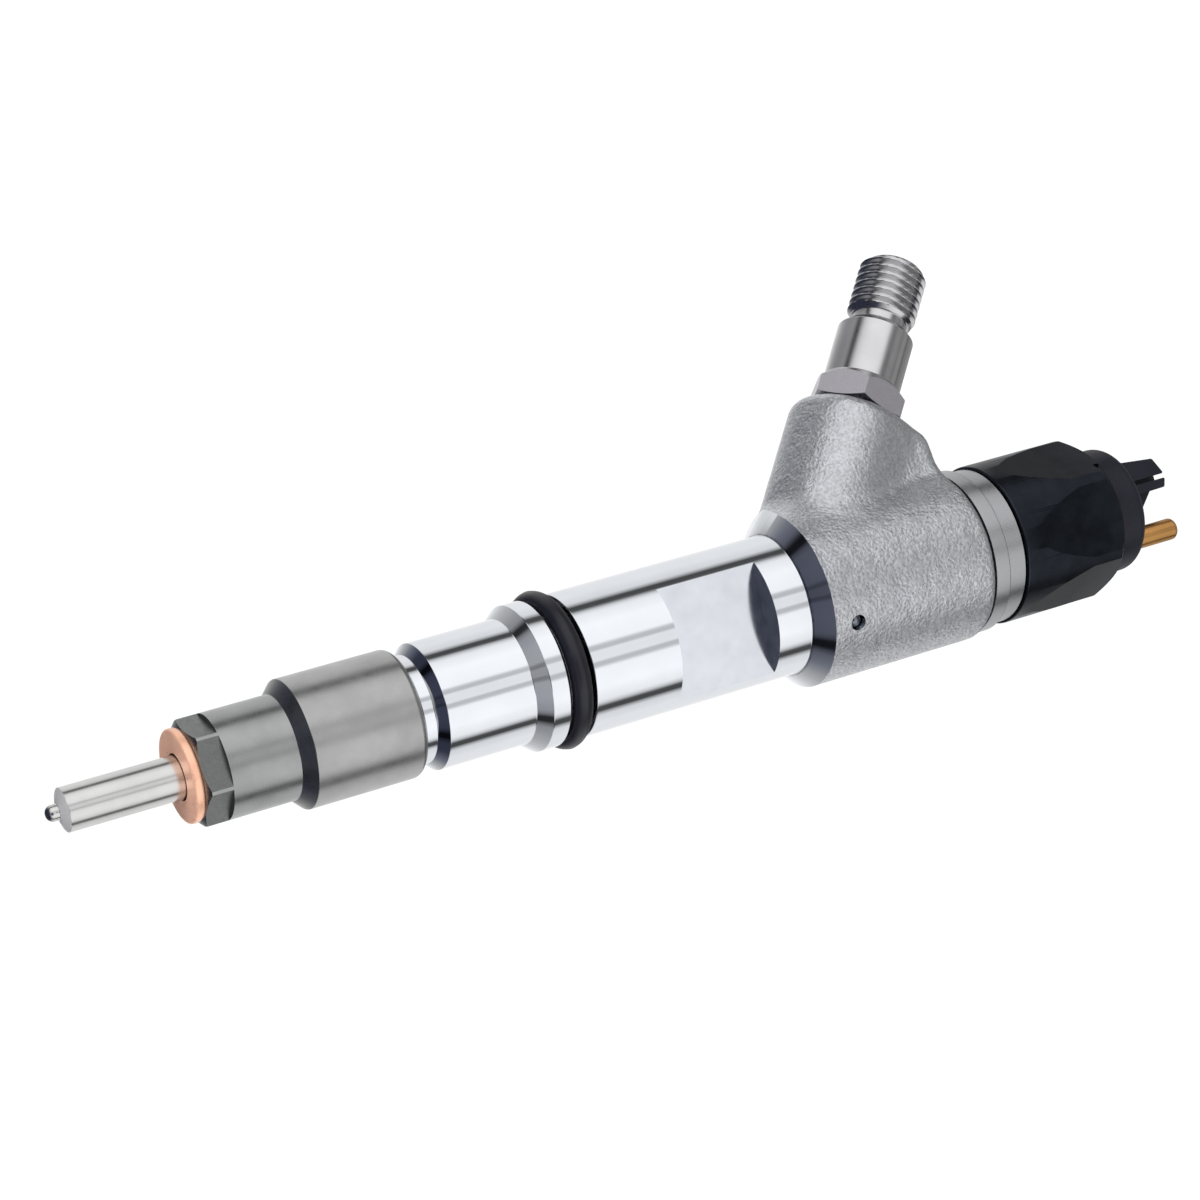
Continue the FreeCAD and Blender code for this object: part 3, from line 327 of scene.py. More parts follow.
def lathe(name, outline, segments=192, radius=None):
    """Solid turned about X from a closed (x, r) outline. radius(x, r, angle) may change r round the turn."""
    profile = rounded(outline)
    angles = np.arange(segments) * 2 * math.pi / segments
    verts = []
    for x, r in profile:
        turned_r = np.full(segments, r) if radius is None else radius(x, r, angles)
        ring = np.stack([np.full(segments, x), turned_r * np.sin(angles), turned_r * np.cos(angles)], 1)
        verts.append(ring)
    count = len(profile)
    faces = []
    for i in range(count):
        for j in range(segments):
            a, b = i * segments, ((i + 1) % count) * segments
            k = (j + 1) % segments
            faces.append((a + j, a + k, b + k, b + j))
    return mesh_object(name, np.concatenate(verts), faces)


def prism(name, stations, sides, clock):
    """Closed solid along X whose regular cross-section has these (x, apothem) stations."""
    verts, faces = [], []
    for x, apothem in stations:
        reach = apothem / math.cos(math.pi / sides)
        for side in range(sides):
            angle = math.radians(clock) + math.pi / sides + 2 * math.pi * side / sides
            verts.append((x, reach * math.sin(angle), reach * math.cos(angle)))
    for i in range(len(stations) - 1):
        for j in range(sides):
            k = (j + 1) % sides
            faces.append((i * sides + j, i * sides + k, (i + 1) * sides + k, (i + 1) * sides + j))
    faces.append(tuple(range(sides)))
    faces.append(tuple(range((len(stations) - 1) * sides, len(stations) * sides)))
    return mesh_object(name, verts, faces)


def block(name, low, high):
    """Plain box, for a cutting tool."""
    corners = [(x, y, z) for x in (low[0], high[0]) for y in (low[1], high[1]) for z in (low[2], high[2])]
    faces = [(0, 1, 3, 2), (4, 5, 7, 6), (0, 1, 5, 4), (2, 3, 7, 6), (0, 2, 6, 4), (1, 3, 7, 5)]
    return mesh_object(name, corners, faces)


def extruded(name, outline, half, clock):
    """Closed solid from an (x, z) outline, from -half to half in Y, turned to the clock angle."""
    profile = rounded(outline)
    count = len(profile)
    verts = [(x, -half, z) for x, z in profile] + [(x, half, z) for x, z in profile]
    faces = [tuple(range(count)), tuple(range(count, 2 * count))]
    faces += [(i, (i + 1) % count, count + (i + 1) % count, count + i) for i in range(count)]
    obj = mesh_object(name, verts, faces)
    place(obj, clocked(clock))
    return obj


def clocked(angle):
    """Turn about X that brings what faced +Z to the clock angle."""
    return Matrix.Rotation(math.radians(-angle), 4, "X")


def place(obj, matrix):
    """Moves the mesh, so that the object itself stays at the origin."""
    obj.data.transform(matrix)
    return obj


def drill(name, start, end, radius, sides, x, clock, tilt=90.0):
    """Round tool that leaves the axis at x towards the clock angle, tilted back from it by tilt degrees."""
    tool = prism(name, [(start, radius), (end, radius)], sides, 0)
    place(tool, Matrix.Rotation(math.radians(-tilt), 4, "Y"))
    place(tool, Matrix.Translation((x * MM, 0, 0)))
    return place(tool, clocked(clock))


def boolean(obj, cutter, operation="DIFFERENCE", paint=None):
    """Cuts, keeps or joins with the cutter, which goes. paint is the material that the cut faces take."""
    if paint:
        cutter.data.materials.append(paint)
    modifier = obj.modifiers.new("cut", "BOOLEAN")
    modifier.operation = operation
    modifier.solver = "EXACT"
    modifier.object = cutter
    if paint:
        modifier.material_mode = "TRANSFER"
    apply_modifiers(obj)
    bpy.data.objects.remove(cutter)
    return obj


def apply_modifiers(obj):
    """The object's mesh becomes what its modifiers make of it."""
    graph = bpy.context.evaluated_depsgraph_get()
    made = bpy.data.meshes.new_from_object(obj.evaluated_get(graph))
    old = obj.data
    obj.modifiers.clear()
    obj.data = made
    bpy.data.meshes.remove(old)


def bevel(obj, width, segments=2, limit=30):
    """Breaks the sharp edges by width, in millimetres."""
    modifier = obj.modifiers.new("edges", "BEVEL")
    modifier.width = width * MM
    modifier.segments = segments
    modifier.limit_method = "ANGLE"
    modifier.angle_limit = math.radians(limit)
    modifier.use_clamp_overlap = True
    apply_modifiers(obj)
    return obj


def cleaned(obj, triangles, apart=0.004, speck_faces=24):
    """Closes up the slivers and drops the specks that cutting leaves. apart is in millimetres.

    With triangles, faces of more than four sides are split first.
    """
    bm = bmesh.new()
    bm.from_mesh(obj.data)
    bmesh.ops.remove_doubles(bm, verts=bm.verts, dist=apart * MM)
    if triangles:
        bmesh.ops.triangulate(bm, faces=[face for face in bm.faces if len(face.verts) > 4])
    bmesh.ops.dissolve_degenerate(bm, edges=bm.edges, dist=apart * MM)
    unseen = set(bm.faces)
    specks = []
    while unseen:
        island = [unseen.pop()]
        for face in island:
            near = {other for edge in face.edges if len(edge.link_faces) == 2
                    for other in edge.link_faces} & unseen
            unseen -= near
            island.extend(near)
        if len(island) < speck_faces:
            specks.extend(island)
    bmesh.ops.delete(bm, geom=specks, context="FACES")
    bmesh.ops.delete(bm, geom=[vertex for vertex in bm.verts if not vertex.link_faces], context="VERTS")
    bm.to_mesh(obj.data)
    bm.free()
    return obj


def smooth(obj, angle=28, weighted=True):
    """Cleans the mesh and shades it smooth, except at edges sharper than angle.

    With weighted, the larger faces lead the shading.
    """
    cleaned(obj, not weighted)
    obj.data.shade_smooth()
    obj.data.set_sharp_from_angle(angle=math.radians(angle))
    if weighted:
        obj.modifiers.new("normals", "WEIGHTED_NORMAL").keep_sharp = True
    return obj


def finish_piece(obj, body, slot, *nodes):
    """The piece rides on its body and stands for its CAD nodes. slot is not used."""
    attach(obj, body)
    if nodes:
        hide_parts(*nodes)
    return obj


# ---- material helpers ---------------------------------------------------------------------------
def shader(name, metallic, roughness, colour, **sockets):
    """A material with one Principled shader, and its node tree."""
    made = bpy.data.materials.new(name)
    made.use_nodes = True
    tree = made.node_tree
    principled = tree.nodes["Principled BSDF"]
    principled.inputs["Metallic"].default_value = metallic
    principled.inputs["Roughness"].default_value = roughness
    principled.inputs["Base Color"].default_value = (*colour, 1)
    for socket, value in sockets.items():
        principled.inputs[socket.replace("_", " ")].default_value = value
    made.diffuse_color = (*colour, 1)
    return made, tree, principled


def field(tree, size, detail=3.0, stretch=(1, 1, 1), in_arm=False):
    """Noise from the object's own coordinates. size is its grain in millimetres, larger along stretch."""
    coordinates = tree.nodes.new("ShaderNodeTexCoord")
    mapping = tree.nodes.new("ShaderNodeMapping")
    mapping.vector_type = "TEXTURE"
    mapping.inputs["Scale"].default_value = [size * MM * part for part in stretch]
    if in_arm:
        mapping.inputs["Location"].default_value = (arm_x * MM, 0, 0)
        mapping.inputs["Rotation"].default_value = (0, math.radians(-ARM_ANGLE), 0)
    tree.links.new(coordinates.outputs["Object"], mapping.inputs["Vector"])
    made = tree.nodes.new("ShaderNodeTexNoise")
    made.inputs["Scale"].default_value = 1.0
    made.inputs["Detail"].default_value = detail
    tree.links.new(mapping.outputs["Vector"], made.inputs["Vector"])
    return made.outputs["Fac"]


def ramp(tree, source, stops, into):
    """Maps source through colour or grey stops into a socket."""
    made = tree.nodes.new("ShaderNodeValToRGB")
    elements = made.color_ramp.elements
    while len(elements) < len(stops):
        elements.new(0.5)
    for element, (place_at, value) in zip(elements, stops):
        element.position = place_at
        element.color = (*value, 1) if isinstance(value, tuple) else (value, value, value, 1)
    tree.links.new(source, made.inputs["Fac"])
    tree.links.new(made.outputs["Color"], into)


def bumps(tree, principled, *layers):
    """Bump layers, each a height, its depth in millimetres and its strength."""
    normal = None
    for height, depth, strength in layers:
        made = tree.nodes.new("ShaderNodeBump")
        made.inputs["Distance"].default_value = depth * MM
        made.inputs["Strength"].default_value = strength
        tree.links.new(height, made.inputs["Height"])
        if normal:
            tree.links.new(normal, made.inputs["Normal"])
        normal = made.outputs["Normal"]
    tree.links.new(normal, principled.inputs["Normal"])


def shades(colour, *factors):
    """The colour made darker or lighter by each factor."""
    return [tuple(part * factor for part in colour) for factor in factors]


def turned_metal(name, colour, roughness, line=0.25, depth=0.0004, spread=0.12, mottle=0.06, in_arm=False,
                 metallic=1.0):
    """Metal with the fine circular lines that turning or grinding leaves, and slow changes of shade."""
    made, tree, principled = shader(name, metallic, roughness, colour)
    lines = field(tree, line, 4.0, (1, 60, 60), in_arm)
    patches = field(tree, 6.0, 4.0)
    dark, light = shades(colour, 1 - mottle, 1 + mottle)
    ramp(tree, patches, [(0.3, dark), (0.7, light)], principled.inputs["Base Color"])
    stains = field(tree, 2.2, 5.0)
    ramp(tree, stains, [(0.3, roughness * (1 - spread)), (0.7, roughness * (1 + spread))],
         principled.inputs["Roughness"])
    bumps(tree, principled, (lines, depth, 1.0))
    return made


def blasted_metal(name, colour, roughness, grain, depth, metallic=1.0):
    """Metal with a sparkling shot-blasted or forged skin."""
    made, tree, principled = shader(name, metallic, roughness, colour)
    pits = field(tree, grain, 3.0)
    waves = field(tree, grain * 6, 3.0)
    dark, light = shades(colour, 0.80, 1.12)
    ramp(tree, pits, [(0.32, dark), (0.62, light)], principled.inputs["Base Color"])
    ramp(tree, waves, [(0.3, roughness * 0.85), (0.7, roughness * 1.15)], principled.inputs["Roughness"])
    bumps(tree, principled, (waves, depth * 1.4, 1.0), (pits, depth, 1.0))
    return made


def moulded(name, colour, roughness, grain=0.15, depth=0.01, **sockets):
    """Rubber, plastic or a black oxide film, with a fine even grain and faint changes of shade."""
    made, tree, principled = shader(name, 0.0, roughness, colour, **sockets)
    grains = field(tree, grain, 2.0)
    patches = field(tree, 3.0, 4.0)
    dark, light = shades(colour, 0.85, 1.2)
    ramp(tree, patches, [(0.3, dark), (0.7, light)], principled.inputs["Base Color"])
    ramp(tree, patches, [(0.3, roughness * 0.88), (0.7, roughness * 1.12)], principled.inputs["Roughness"])
    bumps(tree, principled, (grains, depth, 1.0))
    return made


plated = turned_metal("plated_steel", (0.785, 0.81, 0.85), 0.07, line=0.3, depth=0.00018, spread=0.25,
                      mottle=0.02)
milled = turned_metal("milled_flat", (0.72, 0.75, 0.80), 0.17, line=0.2, depth=0.0005, mottle=0.04)
ringed = turned_metal("ringed_steel", (0.56, 0.57, 0.59), 0.27, line=0.16, depth=0.0012, mottle=0.03)
forging = blasted_metal("rough_forging", (0.52, 0.53, 0.555), 0.27, 0.5, 0.15, metallic=0.88)
shank = turned_metal("nozzle_steel", (0.66, 0.66, 0.655), 0.20, line=0.12, depth=0.0006, mottle=0.04)
nozzle_face = turned_metal("nozzle_face", (0.50, 0.50, 0.50), 0.45, line=0.12, depth=0.0006, metallic=0.6)
ground = turned_metal("bright_steel", (0.66, 0.67, 0.68), 0.15)
nut_skin = turned_metal("phosphated_steel", (0.43, 0.435, 0.43), 0.29, line=0.10, depth=0.0010, mottle=0.07)
# Darker copy of the phosphated steel: painted shade on the retaining nut's small front end.
nut_front_painted_shade = turned_metal("phosphated_front_painted_shade", (0.36, 0.37, 0.365), 0.27, line=0.10, depth=0.0012, mottle=0.10)
nut_flat = blasted_metal("phosphated_flat", (0.235, 0.245, 0.24), 0.42, 0.12, 0.004)
inlet_skin = turned_metal("inlet_steel", (0.62, 0.615, 0.63), 0.20, line=0.12, depth=0.0008, in_arm=True)
inlet_flat = blasted_metal("inlet_flat", (0.74, 0.72, 0.77), 0.36, 0.10, 0.002)
black_nut = moulded("blackened_steel", (0.028, 0.033, 0.043), 0.27, 0.10, 0.002, Metallic=1.0)
wire = turned_metal("spring_steel", (0.42, 0.43, 0.45), 0.3)
iron = blasted_metal("magnet_iron", (0.2, 0.2, 0.21), 0.5, 0.2, 0.01)
copper = turned_metal("copper", (0.80, 0.45, 0.31), 0.30, line=0.15, depth=0.0010, mottle=0.10, metallic=0.55)
gold = turned_metal("gold_plate", (0.86, 0.45, 0.15), 0.26, line=0.10, depth=0.0006, mottle=0.05)
rubber = moulded("black_rubber", (0.006, 0.006, 0.010), 0.36, 0.2, 0.006, Specular_IOR_Level=0.42)
seal = moulded("seal_plastic", (0.75, 0.72, 0.62), 0.5)
nylon = moulded("black_plastic", (0.0055, 0.0055, 0.012), 0.40, 0.08, 0.004, Specular_IOR_Level=0.36)
# Dark steel for the plug ball: painted shade, standing in for the shade deep in the plug hole.
ball_steel_painted_shade = turned_metal("ball_steel_painted_shade", (0.20, 0.22, 0.25), 0.12, mottle=0.02)

slot_materials = {
    "plated_steel": plated, "rough_forging": forging, "nozzle_steel": shank, "bright_steel": ground,
    "phosphated_steel": nut_skin, "inlet_steel": inlet_skin, "blackened_steel": black_nut,
    "spring_steel": wire, "magnet_iron": iron, "copper": copper, "gold_plate": gold,
    "black_rubber": rubber, "seal_plastic": seal, "black_plastic": nylon,
}


def dress_cad_nodes():
    """Every CAD node takes the material that its slot names, except the plug ball, which takes a dark steel
    that paints the shade of its hole.
    """
    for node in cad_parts.values():
        for place_in in node.material_slots:
            slot_name = place_in.material.name.split(".")[0] if place_in.material else ""
            place_in.material = slot_materials.get(slot_name, ground)
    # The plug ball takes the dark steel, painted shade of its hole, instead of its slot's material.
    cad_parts["drilling_plug_ball"].material_slots[0].material = ball_steel_painted_shade


def painted(obj, *materials):
    """The object with these materials and no others."""
    obj.data.materials.clear()
    for made in materials:
        obj.data.materials.append(made)
    return obj


# ---- nozzle, washer and retaining nut -----------------------------------------------------------
def make_nozzle():
    """Shank, cone and sac with its spray holes, bored for the needle, and the collar inside the nut."""
    cone_x = -SHANK_LENGTH - CONE_LENGTH
    seat_x = cone_x + SEAT_LENGTH
    sac_rear_x = tip_x + SAC_WALL
    thin_r = SHANK_R - SHANK_RELIEF
    gallery_front_x, gallery_rear_x = GALLERY_X
    obj = lathe("nozzle", [
        (tip_x, 0), (tip_x, SAC_R, SAC_R * 0.9), (cone_x, SAC_R, 0.15),
        (-SHANK_LENGTH - 0.2, SHANK_R - 0.3), (-SHANK_LENGTH, SHANK_R, 0.15),
        (0, SHANK_R), (0, thin_r), (SHOULDER_X, thin_r), (SHOULDER_X, COLLAR_R, 0.4),
        (nozzle_high.x, COLLAR_R, 0.3), (nozzle_high.x, NEEDLE_GUIDE_R), (gallery_rear_x, NEEDLE_GUIDE_R),
        (gallery_rear_x, GALLERY_R), (gallery_front_x, GALLERY_R), (gallery_front_x, NEEDLE_BORE_R),
        (seat_x, NEEDLE_BORE_R), (cone_x, SAC_BORE_R), (sac_rear_x, SAC_BORE_R), (sac_rear_x, 0),
    ], 128)
    painted(obj, shank, nozzle_face)
    for polygon in obj.data.polygons:
        on_cone = cone_x < polygon.center.x / MM < -SHANK_LENGTH
        polygon.material_index = 1 if on_cone else 0
    for index in range(SPRAY_HOLES):
        clock = 360 / SPRAY_HOLES * index + SPRAY_CLOCK
        boolean(obj, drill("hole", 0.7, 2.5, SPRAY_HOLE_R, 10, cone_x - SPRAY_FORWARD, clock, SPRAY_TILT))
    return finish_piece(smooth(obj), "injector", "nozzle_steel", "nozzle_body")


def make_washer():
    """Copper sealing washer with rounded edges."""
    obj = lathe("washer", [
        (0, WASHER_BORE_R, 0.1), (0, WASHER_R, 0.45), (WASHER_THICK, WASHER_R, 0.45),
        (WASHER_THICK, WASHER_BORE_R, 0.1)], 192)
    painted(obj, copper)
    return finish_piece(smooth(obj), "injector", "copper", "copper_washer")


def make_retaining_nut():
    """Stepped nut with a hexagon cut on its small front end."""
    front, rear, large_r = nut_low.x, nut_high.x, nut_high.y
    cone_rear = NUT_SMALL_REAR_X + large_r - NUT_SMALL_R
    obj = lathe("retaining_nut", [
        (front, NUT_HEX_AF / 2 - 0.3), (front + 0.7, NUT_SMALL_R, 0.3), (NUT_SMALL_REAR_X, NUT_SMALL_R, 0.15),
        (cone_rear, large_r, 0.25), (rear, large_r, 1.2), (rear, NUT_THREAD_R), (NUT_THREAD_X, NUT_THREAD_R),
        (NUT_BORE_REAR_X, NUT_BORE_R), (SHOULDER_X, NUT_BORE_R), (SHOULDER_X, NUT_FRONT_BORE_R),
        (front, NUT_FRONT_BORE_R),
    ], 240)
    painted(obj, nut_skin, nut_front_painted_shade)
    # Faces ahead of the small end's rear take the darker copy, painted shade.
    for polygon in obj.data.polygons:
        polygon.material_index = 1 if polygon.center.x < (NUT_SMALL_REAR_X + 0.1) * MM else 0
    hexagon = prism("hexagon", [
        (front - 1, NUT_HEX_AF / 2), (NUT_HEX_REAR_X, NUT_HEX_AF / 2), (NUT_HEX_REAR_X, large_r + 2),
        (rear + 2, large_r + 2)], 6, NUT_HEX_CLOCK)
    boolean(obj, hexagon, "INTERSECT", nut_flat)
    return finish_piece(smooth(obj, 12), "injector", "phosphated_steel", "nozzle_retaining_nut")


# ---- turned body and its rings ------------------------------------------------------------------
def make_turned_body():
    """Neck, front cylinder, flange, O-ring groove and the plated cylinder with its two milled flats."""
    obj = lathe("turned_body", [
        (BODY_FRONT_X, BODY_THREAD_R - 0.8), (BODY_FRONT_X + 0.8, BODY_THREAD_R),
        (BODY_THREAD_REAR_X, BODY_THREAD_R), (BODY_THREAD_REAR_X + 0.2, NECK_R),
        (neck_x + NECK_LENGTH, NECK_R, 0.2), (collar_x, COLLAR_FRONT_R, 0.2),
        (flange_cone_x, COLLAR_FRONT_R, 0.3), (flange_x, FLANGE_R, 0.3), (groove_x, FLANGE_R, 0.2),
        (groove_x, RING_GROOVE_R, 0.2), (groove_rear_x, RING_GROOVE_R, 0.2), (groove_rear_x, BODY_R, 0.2),
        (barrel_cone_x, BODY_R, 0.15), (barrel_cone_x + 0.3, BODY_R + 0.3),
        (barrel_cone_x + 0.3, PISTON_BORE_R),
        (SPRING_CHAMBER_REAR_X, PISTON_BORE_R), (SPRING_CHAMBER_REAR_X, SPRING_CHAMBER_R),
        (BODY_FRONT_X, SPRING_CHAMBER_R),
    ], 240)
    painted(obj, plated)
    start = groove_rear_x + FLATS_START
    end = start + FLATS_LENGTH
    for clock in (FLATS_CLOCK, FLATS_CLOCK + 180):
        slab = block("slab", (start, -BODY_R - 1, FLATS_AF / 2), (end, BODY_R + 1, BODY_R + 2))
        place(slab, clocked(clock))
        boolean(obj, slab, "DIFFERENCE", milled)
    port_x = groove_rear_x + RETURN_PORT_BACK
    port = drill("port", 0, BODY_R + 1, RETURN_PORT_R, 40, port_x, RETURN_PORT_CLOCK)
    boolean(obj, port, "DIFFERENCE", plated)
    return finish_piece(smooth(obj, 22), "injector", "plated_steel", "injector_body")


def make_o_ring():
    """Rubber ring with the thin moulding flash round its outside."""
    middle = (groove_x + groove_rear_x) / 2
    wire_r = (ring_high.x - ring_low.x) / 2
    middle_r = ring_high.y - wire_r
    flash = 0.05
    count = 48
    outline = []
    for index in range(count):
        angle = 2 * math.pi * index / count
        reach = wire_r if index == count // 4 else wire_r - flash
        outline.append((middle + reach * math.cos(angle), middle_r + reach * math.sin(angle)))
    obj = painted(lathe("o_ring", outline, 240), rubber)
    return finish_piece(smooth(obj, 50), "injector", "black_rubber", "body_o_ring")


def make_rear_rings():
    """Two machined rings behind the forging and the thread that the solenoid nut turns on."""
    thread_front_x, thread_rear_x = TAIL_THREAD_X
    obj = lathe("rear_rings", [
        (barrel_rear_x, TAIL_BORE_R), (barrel_rear_x, LAND_R), (land_rear_x, LAND_R, 0.25),
        (land_rear_x, STEP_R), (step_rear_x, STEP_R, 0.15), (step_rear_x, TAIL_NECK_R),
        (thread_front_x, TAIL_NECK_R), (thread_front_x, TAIL_THREAD_R), (thread_rear_x, TAIL_THREAD_R, 0.4),
        (thread_rear_x, TAIL_SEAT_R), (TAIL_SEAT_X, TAIL_SEAT_R), (TAIL_SEAT_X, TAIL_BORE_R),
    ], 240)
    painted(obj, ringed)
    return finish_piece(smooth(obj), "injector", "plated_steel", "injector_body")


# ---- forged barrel, boss and web ----------------------------------------------------------------
def soft_min(a, b, reach):
    """The smaller of two distances, blended where they differ by less than reach."""
    mixed = np.clip(0.5 + 0.5 * (b - a) / reach, 0, 1)
    return b * (1 - mixed) + a * mixed - reach * mixed * (1 - mixed)


def soft_max(a, b, reach):
    """The larger of two distances, blended where they differ by less than reach."""
    return -soft_min(-a, -b, reach)


def round_rod(along, across, start, end, radius, edge):
    """Signed distance to a rod from start to end whose end edges are rounded by edge."""
    out_x = np.abs(along - (start + end) / 2) - (end - start) / 2 + edge
    out_r = across - radius + edge
    outside = np.hypot(np.maximum(out_x, 0), np.maximum(out_r, 0))
    return outside + np.minimum(np.maximum(out_x, out_r), 0) - edge


def forged_distance(x, y, z):
    """Signed distance to the barrel, the inclined boss and the web behind it, blended together."""
    barrel = round_rod(x, np.hypot(y, z), barrel_cone_x - 2, barrel_rear_x, barrel_r, 1.6)
    along = (x - arm_x) * arm_cos + z * arm_sin
    up = -(x - arm_x) * arm_sin + z * arm_cos
    boss = round_rod(along, np.hypot(up, y), -4.0, BOSS_LENGTH, BOSS_R, 2.4)
    web = soft_max(soft_max(x - barrel_rear_x, along - BOSS_LENGTH, 1.5), np.abs(y) - WEB_HALF_THICK, 2.5)
    web = np.maximum(np.maximum(web, up), -z)
    shape = soft_min(soft_min(barrel, boss, 2.6), web, 2.2)
    return soft_max(shape, x - barrel_rear_x, 0.8)


def surface_net(low, high, step, distance):
    """Quads over the zero surface of a distance function."""
    axes = [np.arange(low[i], high[i] + step, step) for i in range(3)]
    values = distance(*np.meshgrid(*axes, indexing="ij"))
    cells = np.array(values.shape) - 1
    total = np.zeros((*cells, 3))
    count = np.zeros(cells)
    quads = []
    for axis in range(3):
        lower = np.moveaxis(values, axis, 0)[:-1]
        upper = np.moveaxis(values, axis, 0)[1:]
        found = np.argwhere((lower < 0) != (upper < 0))
        a, b = lower[tuple(found.T)], upper[tuple(found.T)]
        others = [i for i in range(3) if i != axis]
        corner = np.empty_like(found)
        corner[:, axis], corner[:, others[0]], corner[:, others[1]] = found[:, 0], found[:, 1], found[:, 2]
        point = corner.astype(float)
        point[:, axis] += a / (a - b)
        around = []
        for du, dv in ((0, 0), (-1, 0), (-1, -1), (0, -1)):
            cell = corner.copy()
            cell[:, others[0]] += du
            cell[:, others[1]] += dv
            around.append(cell)
        inside = np.all([(cell >= 0).all(1) & (cell < cells).all(1) for cell in around], axis=0)
        for cell in around:
            np.add.at(total, tuple(cell[inside].T), point[inside])
            np.add.at(count, tuple(cell[inside].T), 1)
        quads.append(np.stack([np.ravel_multi_index(cell[inside].T, cells) for cell in around], 1))
    used = np.flatnonzero(count.ravel())
    number = np.full(count.size, -1)
    number[used] = np.arange(len(used))
    points = total.reshape(-1, 3)[used] / count.ravel()[used][:, None]
    return points * step + np.array(low), number[np.concatenate(quads)].tolist()


def make_forging():
    """Forged skin, slightly uneven, with the machined front cone, bores and plug hole cut into it."""
    low = (barrel_cone_x - 4.0, -barrel_r - 2.1, -barrel_r - 2.1)
    high = (barrel_rear_x + 2.0, barrel_r + 2.0, 38.0)
    verts, faces = surface_net(low, high, 0.5, forged_distance)
    obj = mesh_object("forging", verts, faces)
    for vertex in obj.data.vertices:
        at = vertex.co / MM
        pitted = 0.5 + 0.5 * noise.noise(at * 0.55) + 0.25 * noise.noise(at * 1.3)
        vertex.co -= vertex.normal * 0.07 * MM * max(0.0, pitted)
    painted(obj, forging)
    cone_length, past = 4.4, 45
    start, cone_rear_x = barrel_cone_x - 9, barrel_cone_x + cone_length
    front = lathe("front_cut", [
        (start, 0.5), (barrel_cone_x, 0.5), (barrel_cone_x, BODY_R), (cone_rear_x, BODY_R + cone_length),
        (cone_rear_x, past), (start, past)], 240)
    boolean(obj, front, "DIFFERENCE", plated)
    start, rear = barrel_cone_x - 2, barrel_rear_x + 3
    bore = lathe("bore", [
        (start, 0), (start, PISTON_BORE_R), (VALVE_BORE_X, PISTON_BORE_R), (VALVE_BORE_X, VALVE_BORE_R),
        (CLAMP_BORE_X, VALVE_BORE_R), (CLAMP_BORE_X, CLAMP_BORE_R), (SOLENOID_BORE_X, CLAMP_BORE_R),
        (SOLENOID_BORE_X, SOLENOID_BORE_R), (rear, SOLENOID_BORE_R), (rear, 0)], 96)
    boolean(obj, bore, "DIFFERENCE", plated)
    chamfer_s, end_s = BOSS_LENGTH - 0.7, BOSS_LENGTH + 1.3
    arm_bore = lathe("arm_bore", [
        (DUCT_S, 0), (DUCT_S, DUCT_R), (CONNECTOR_NOSE_BORE_S, DUCT_R),
        (CONNECTOR_NOSE_BORE_S, CONNECTOR_NOSE_BORE_R), (CONNECTOR_BORE_S, CONNECTOR_NOSE_BORE_R),
        (CONNECTOR_BORE_S, CONNECTOR_BORE_R), (chamfer_s, CONNECTOR_BORE_R),
        (end_s, CONNECTOR_BORE_R + end_s - chamfer_s), (end_s, 0)], 96)
    boolean(obj, place(arm_bore, IN_ARM), "DIFFERENCE", plated)
    plug_x = barrel_x + PLUG_BEHIND_CONE
    plug = drill("plug", barrel_r - PLUG_DEPTH, barrel_r + 1, PLUG_R, 48, plug_x, PLUG_CLOCK)
    boolean(obj, plug, "DIFFERENCE", plated)
    return finish_piece(smooth(obj, 35, False), "injector", "rough_forging", "injector_body")


# ---- solenoid nut, terminal cap and pins --------------------------------------------------------
def make_solenoid_nut():
    """Round nut whose six flats deepen towards the rear, with two notches in its rear edge."""
    front, rear = tail_nut_low.x, tail_nut_high.x
    relief_x = front + TAIL_NUT_RELIEF_LENGTH
    chamfer = TAIL_NUT_CHAMFER
    obj = lathe("solenoid_nut_skin", [
        (front, TAIL_NUT_R, 0.4), (rear - chamfer, TAIL_NUT_R, 0.5), (rear, TAIL_NUT_R - chamfer, 0.3),
        (rear, TAIL_NUT_MOUTH_R, 0.2), (TAIL_NUT_MOUTH_X, TAIL_NUT_MOUTH_R),
        (TAIL_NUT_MOUTH_X, TAIL_NUT_THREAD_R),
        (relief_x, TAIL_NUT_THREAD_R), (relief_x, TAIL_NUT_RELIEF_R), (front, TAIL_NUT_RELIEF_R),
    ], 240)
    painted(obj, black_nut)
    apothem = TAIL_NUT_HEX_AF / 2
    slope = (TAIL_NUT_R - apothem) / TAIL_NUT_TAPER_LENGTH
    ahead = 2
    facets = prism("facets", [
        (front - ahead, TAIL_NUT_R + (TAIL_NUT_TAPER_START + ahead) * slope),
        (front + TAIL_NUT_TAPER_START + TAIL_NUT_TAPER_LENGTH, apothem), (rear + 2, apothem)],
        6, TAIL_NUT_HEX_CLOCK)
    boolean(obj, facets, "INTERSECT", black_nut)
    for clock in (NOTCH_CLOCK, NOTCH_CLOCK + 180):
        notch = block("notch", (rear - NOTCH_DEPTH, -NOTCH_HALF_WIDTH, 10), (rear + 1, NOTCH_HALF_WIDTH, 16))
        boolean(obj, place(notch, clocked(clock)), "DIFFERENCE", black_nut)
    bevel(obj, 0.12, 2, 16)
    return finish_piece(smooth(obj, 10.5), "injector", "blackened_steel", "solenoid_nut")


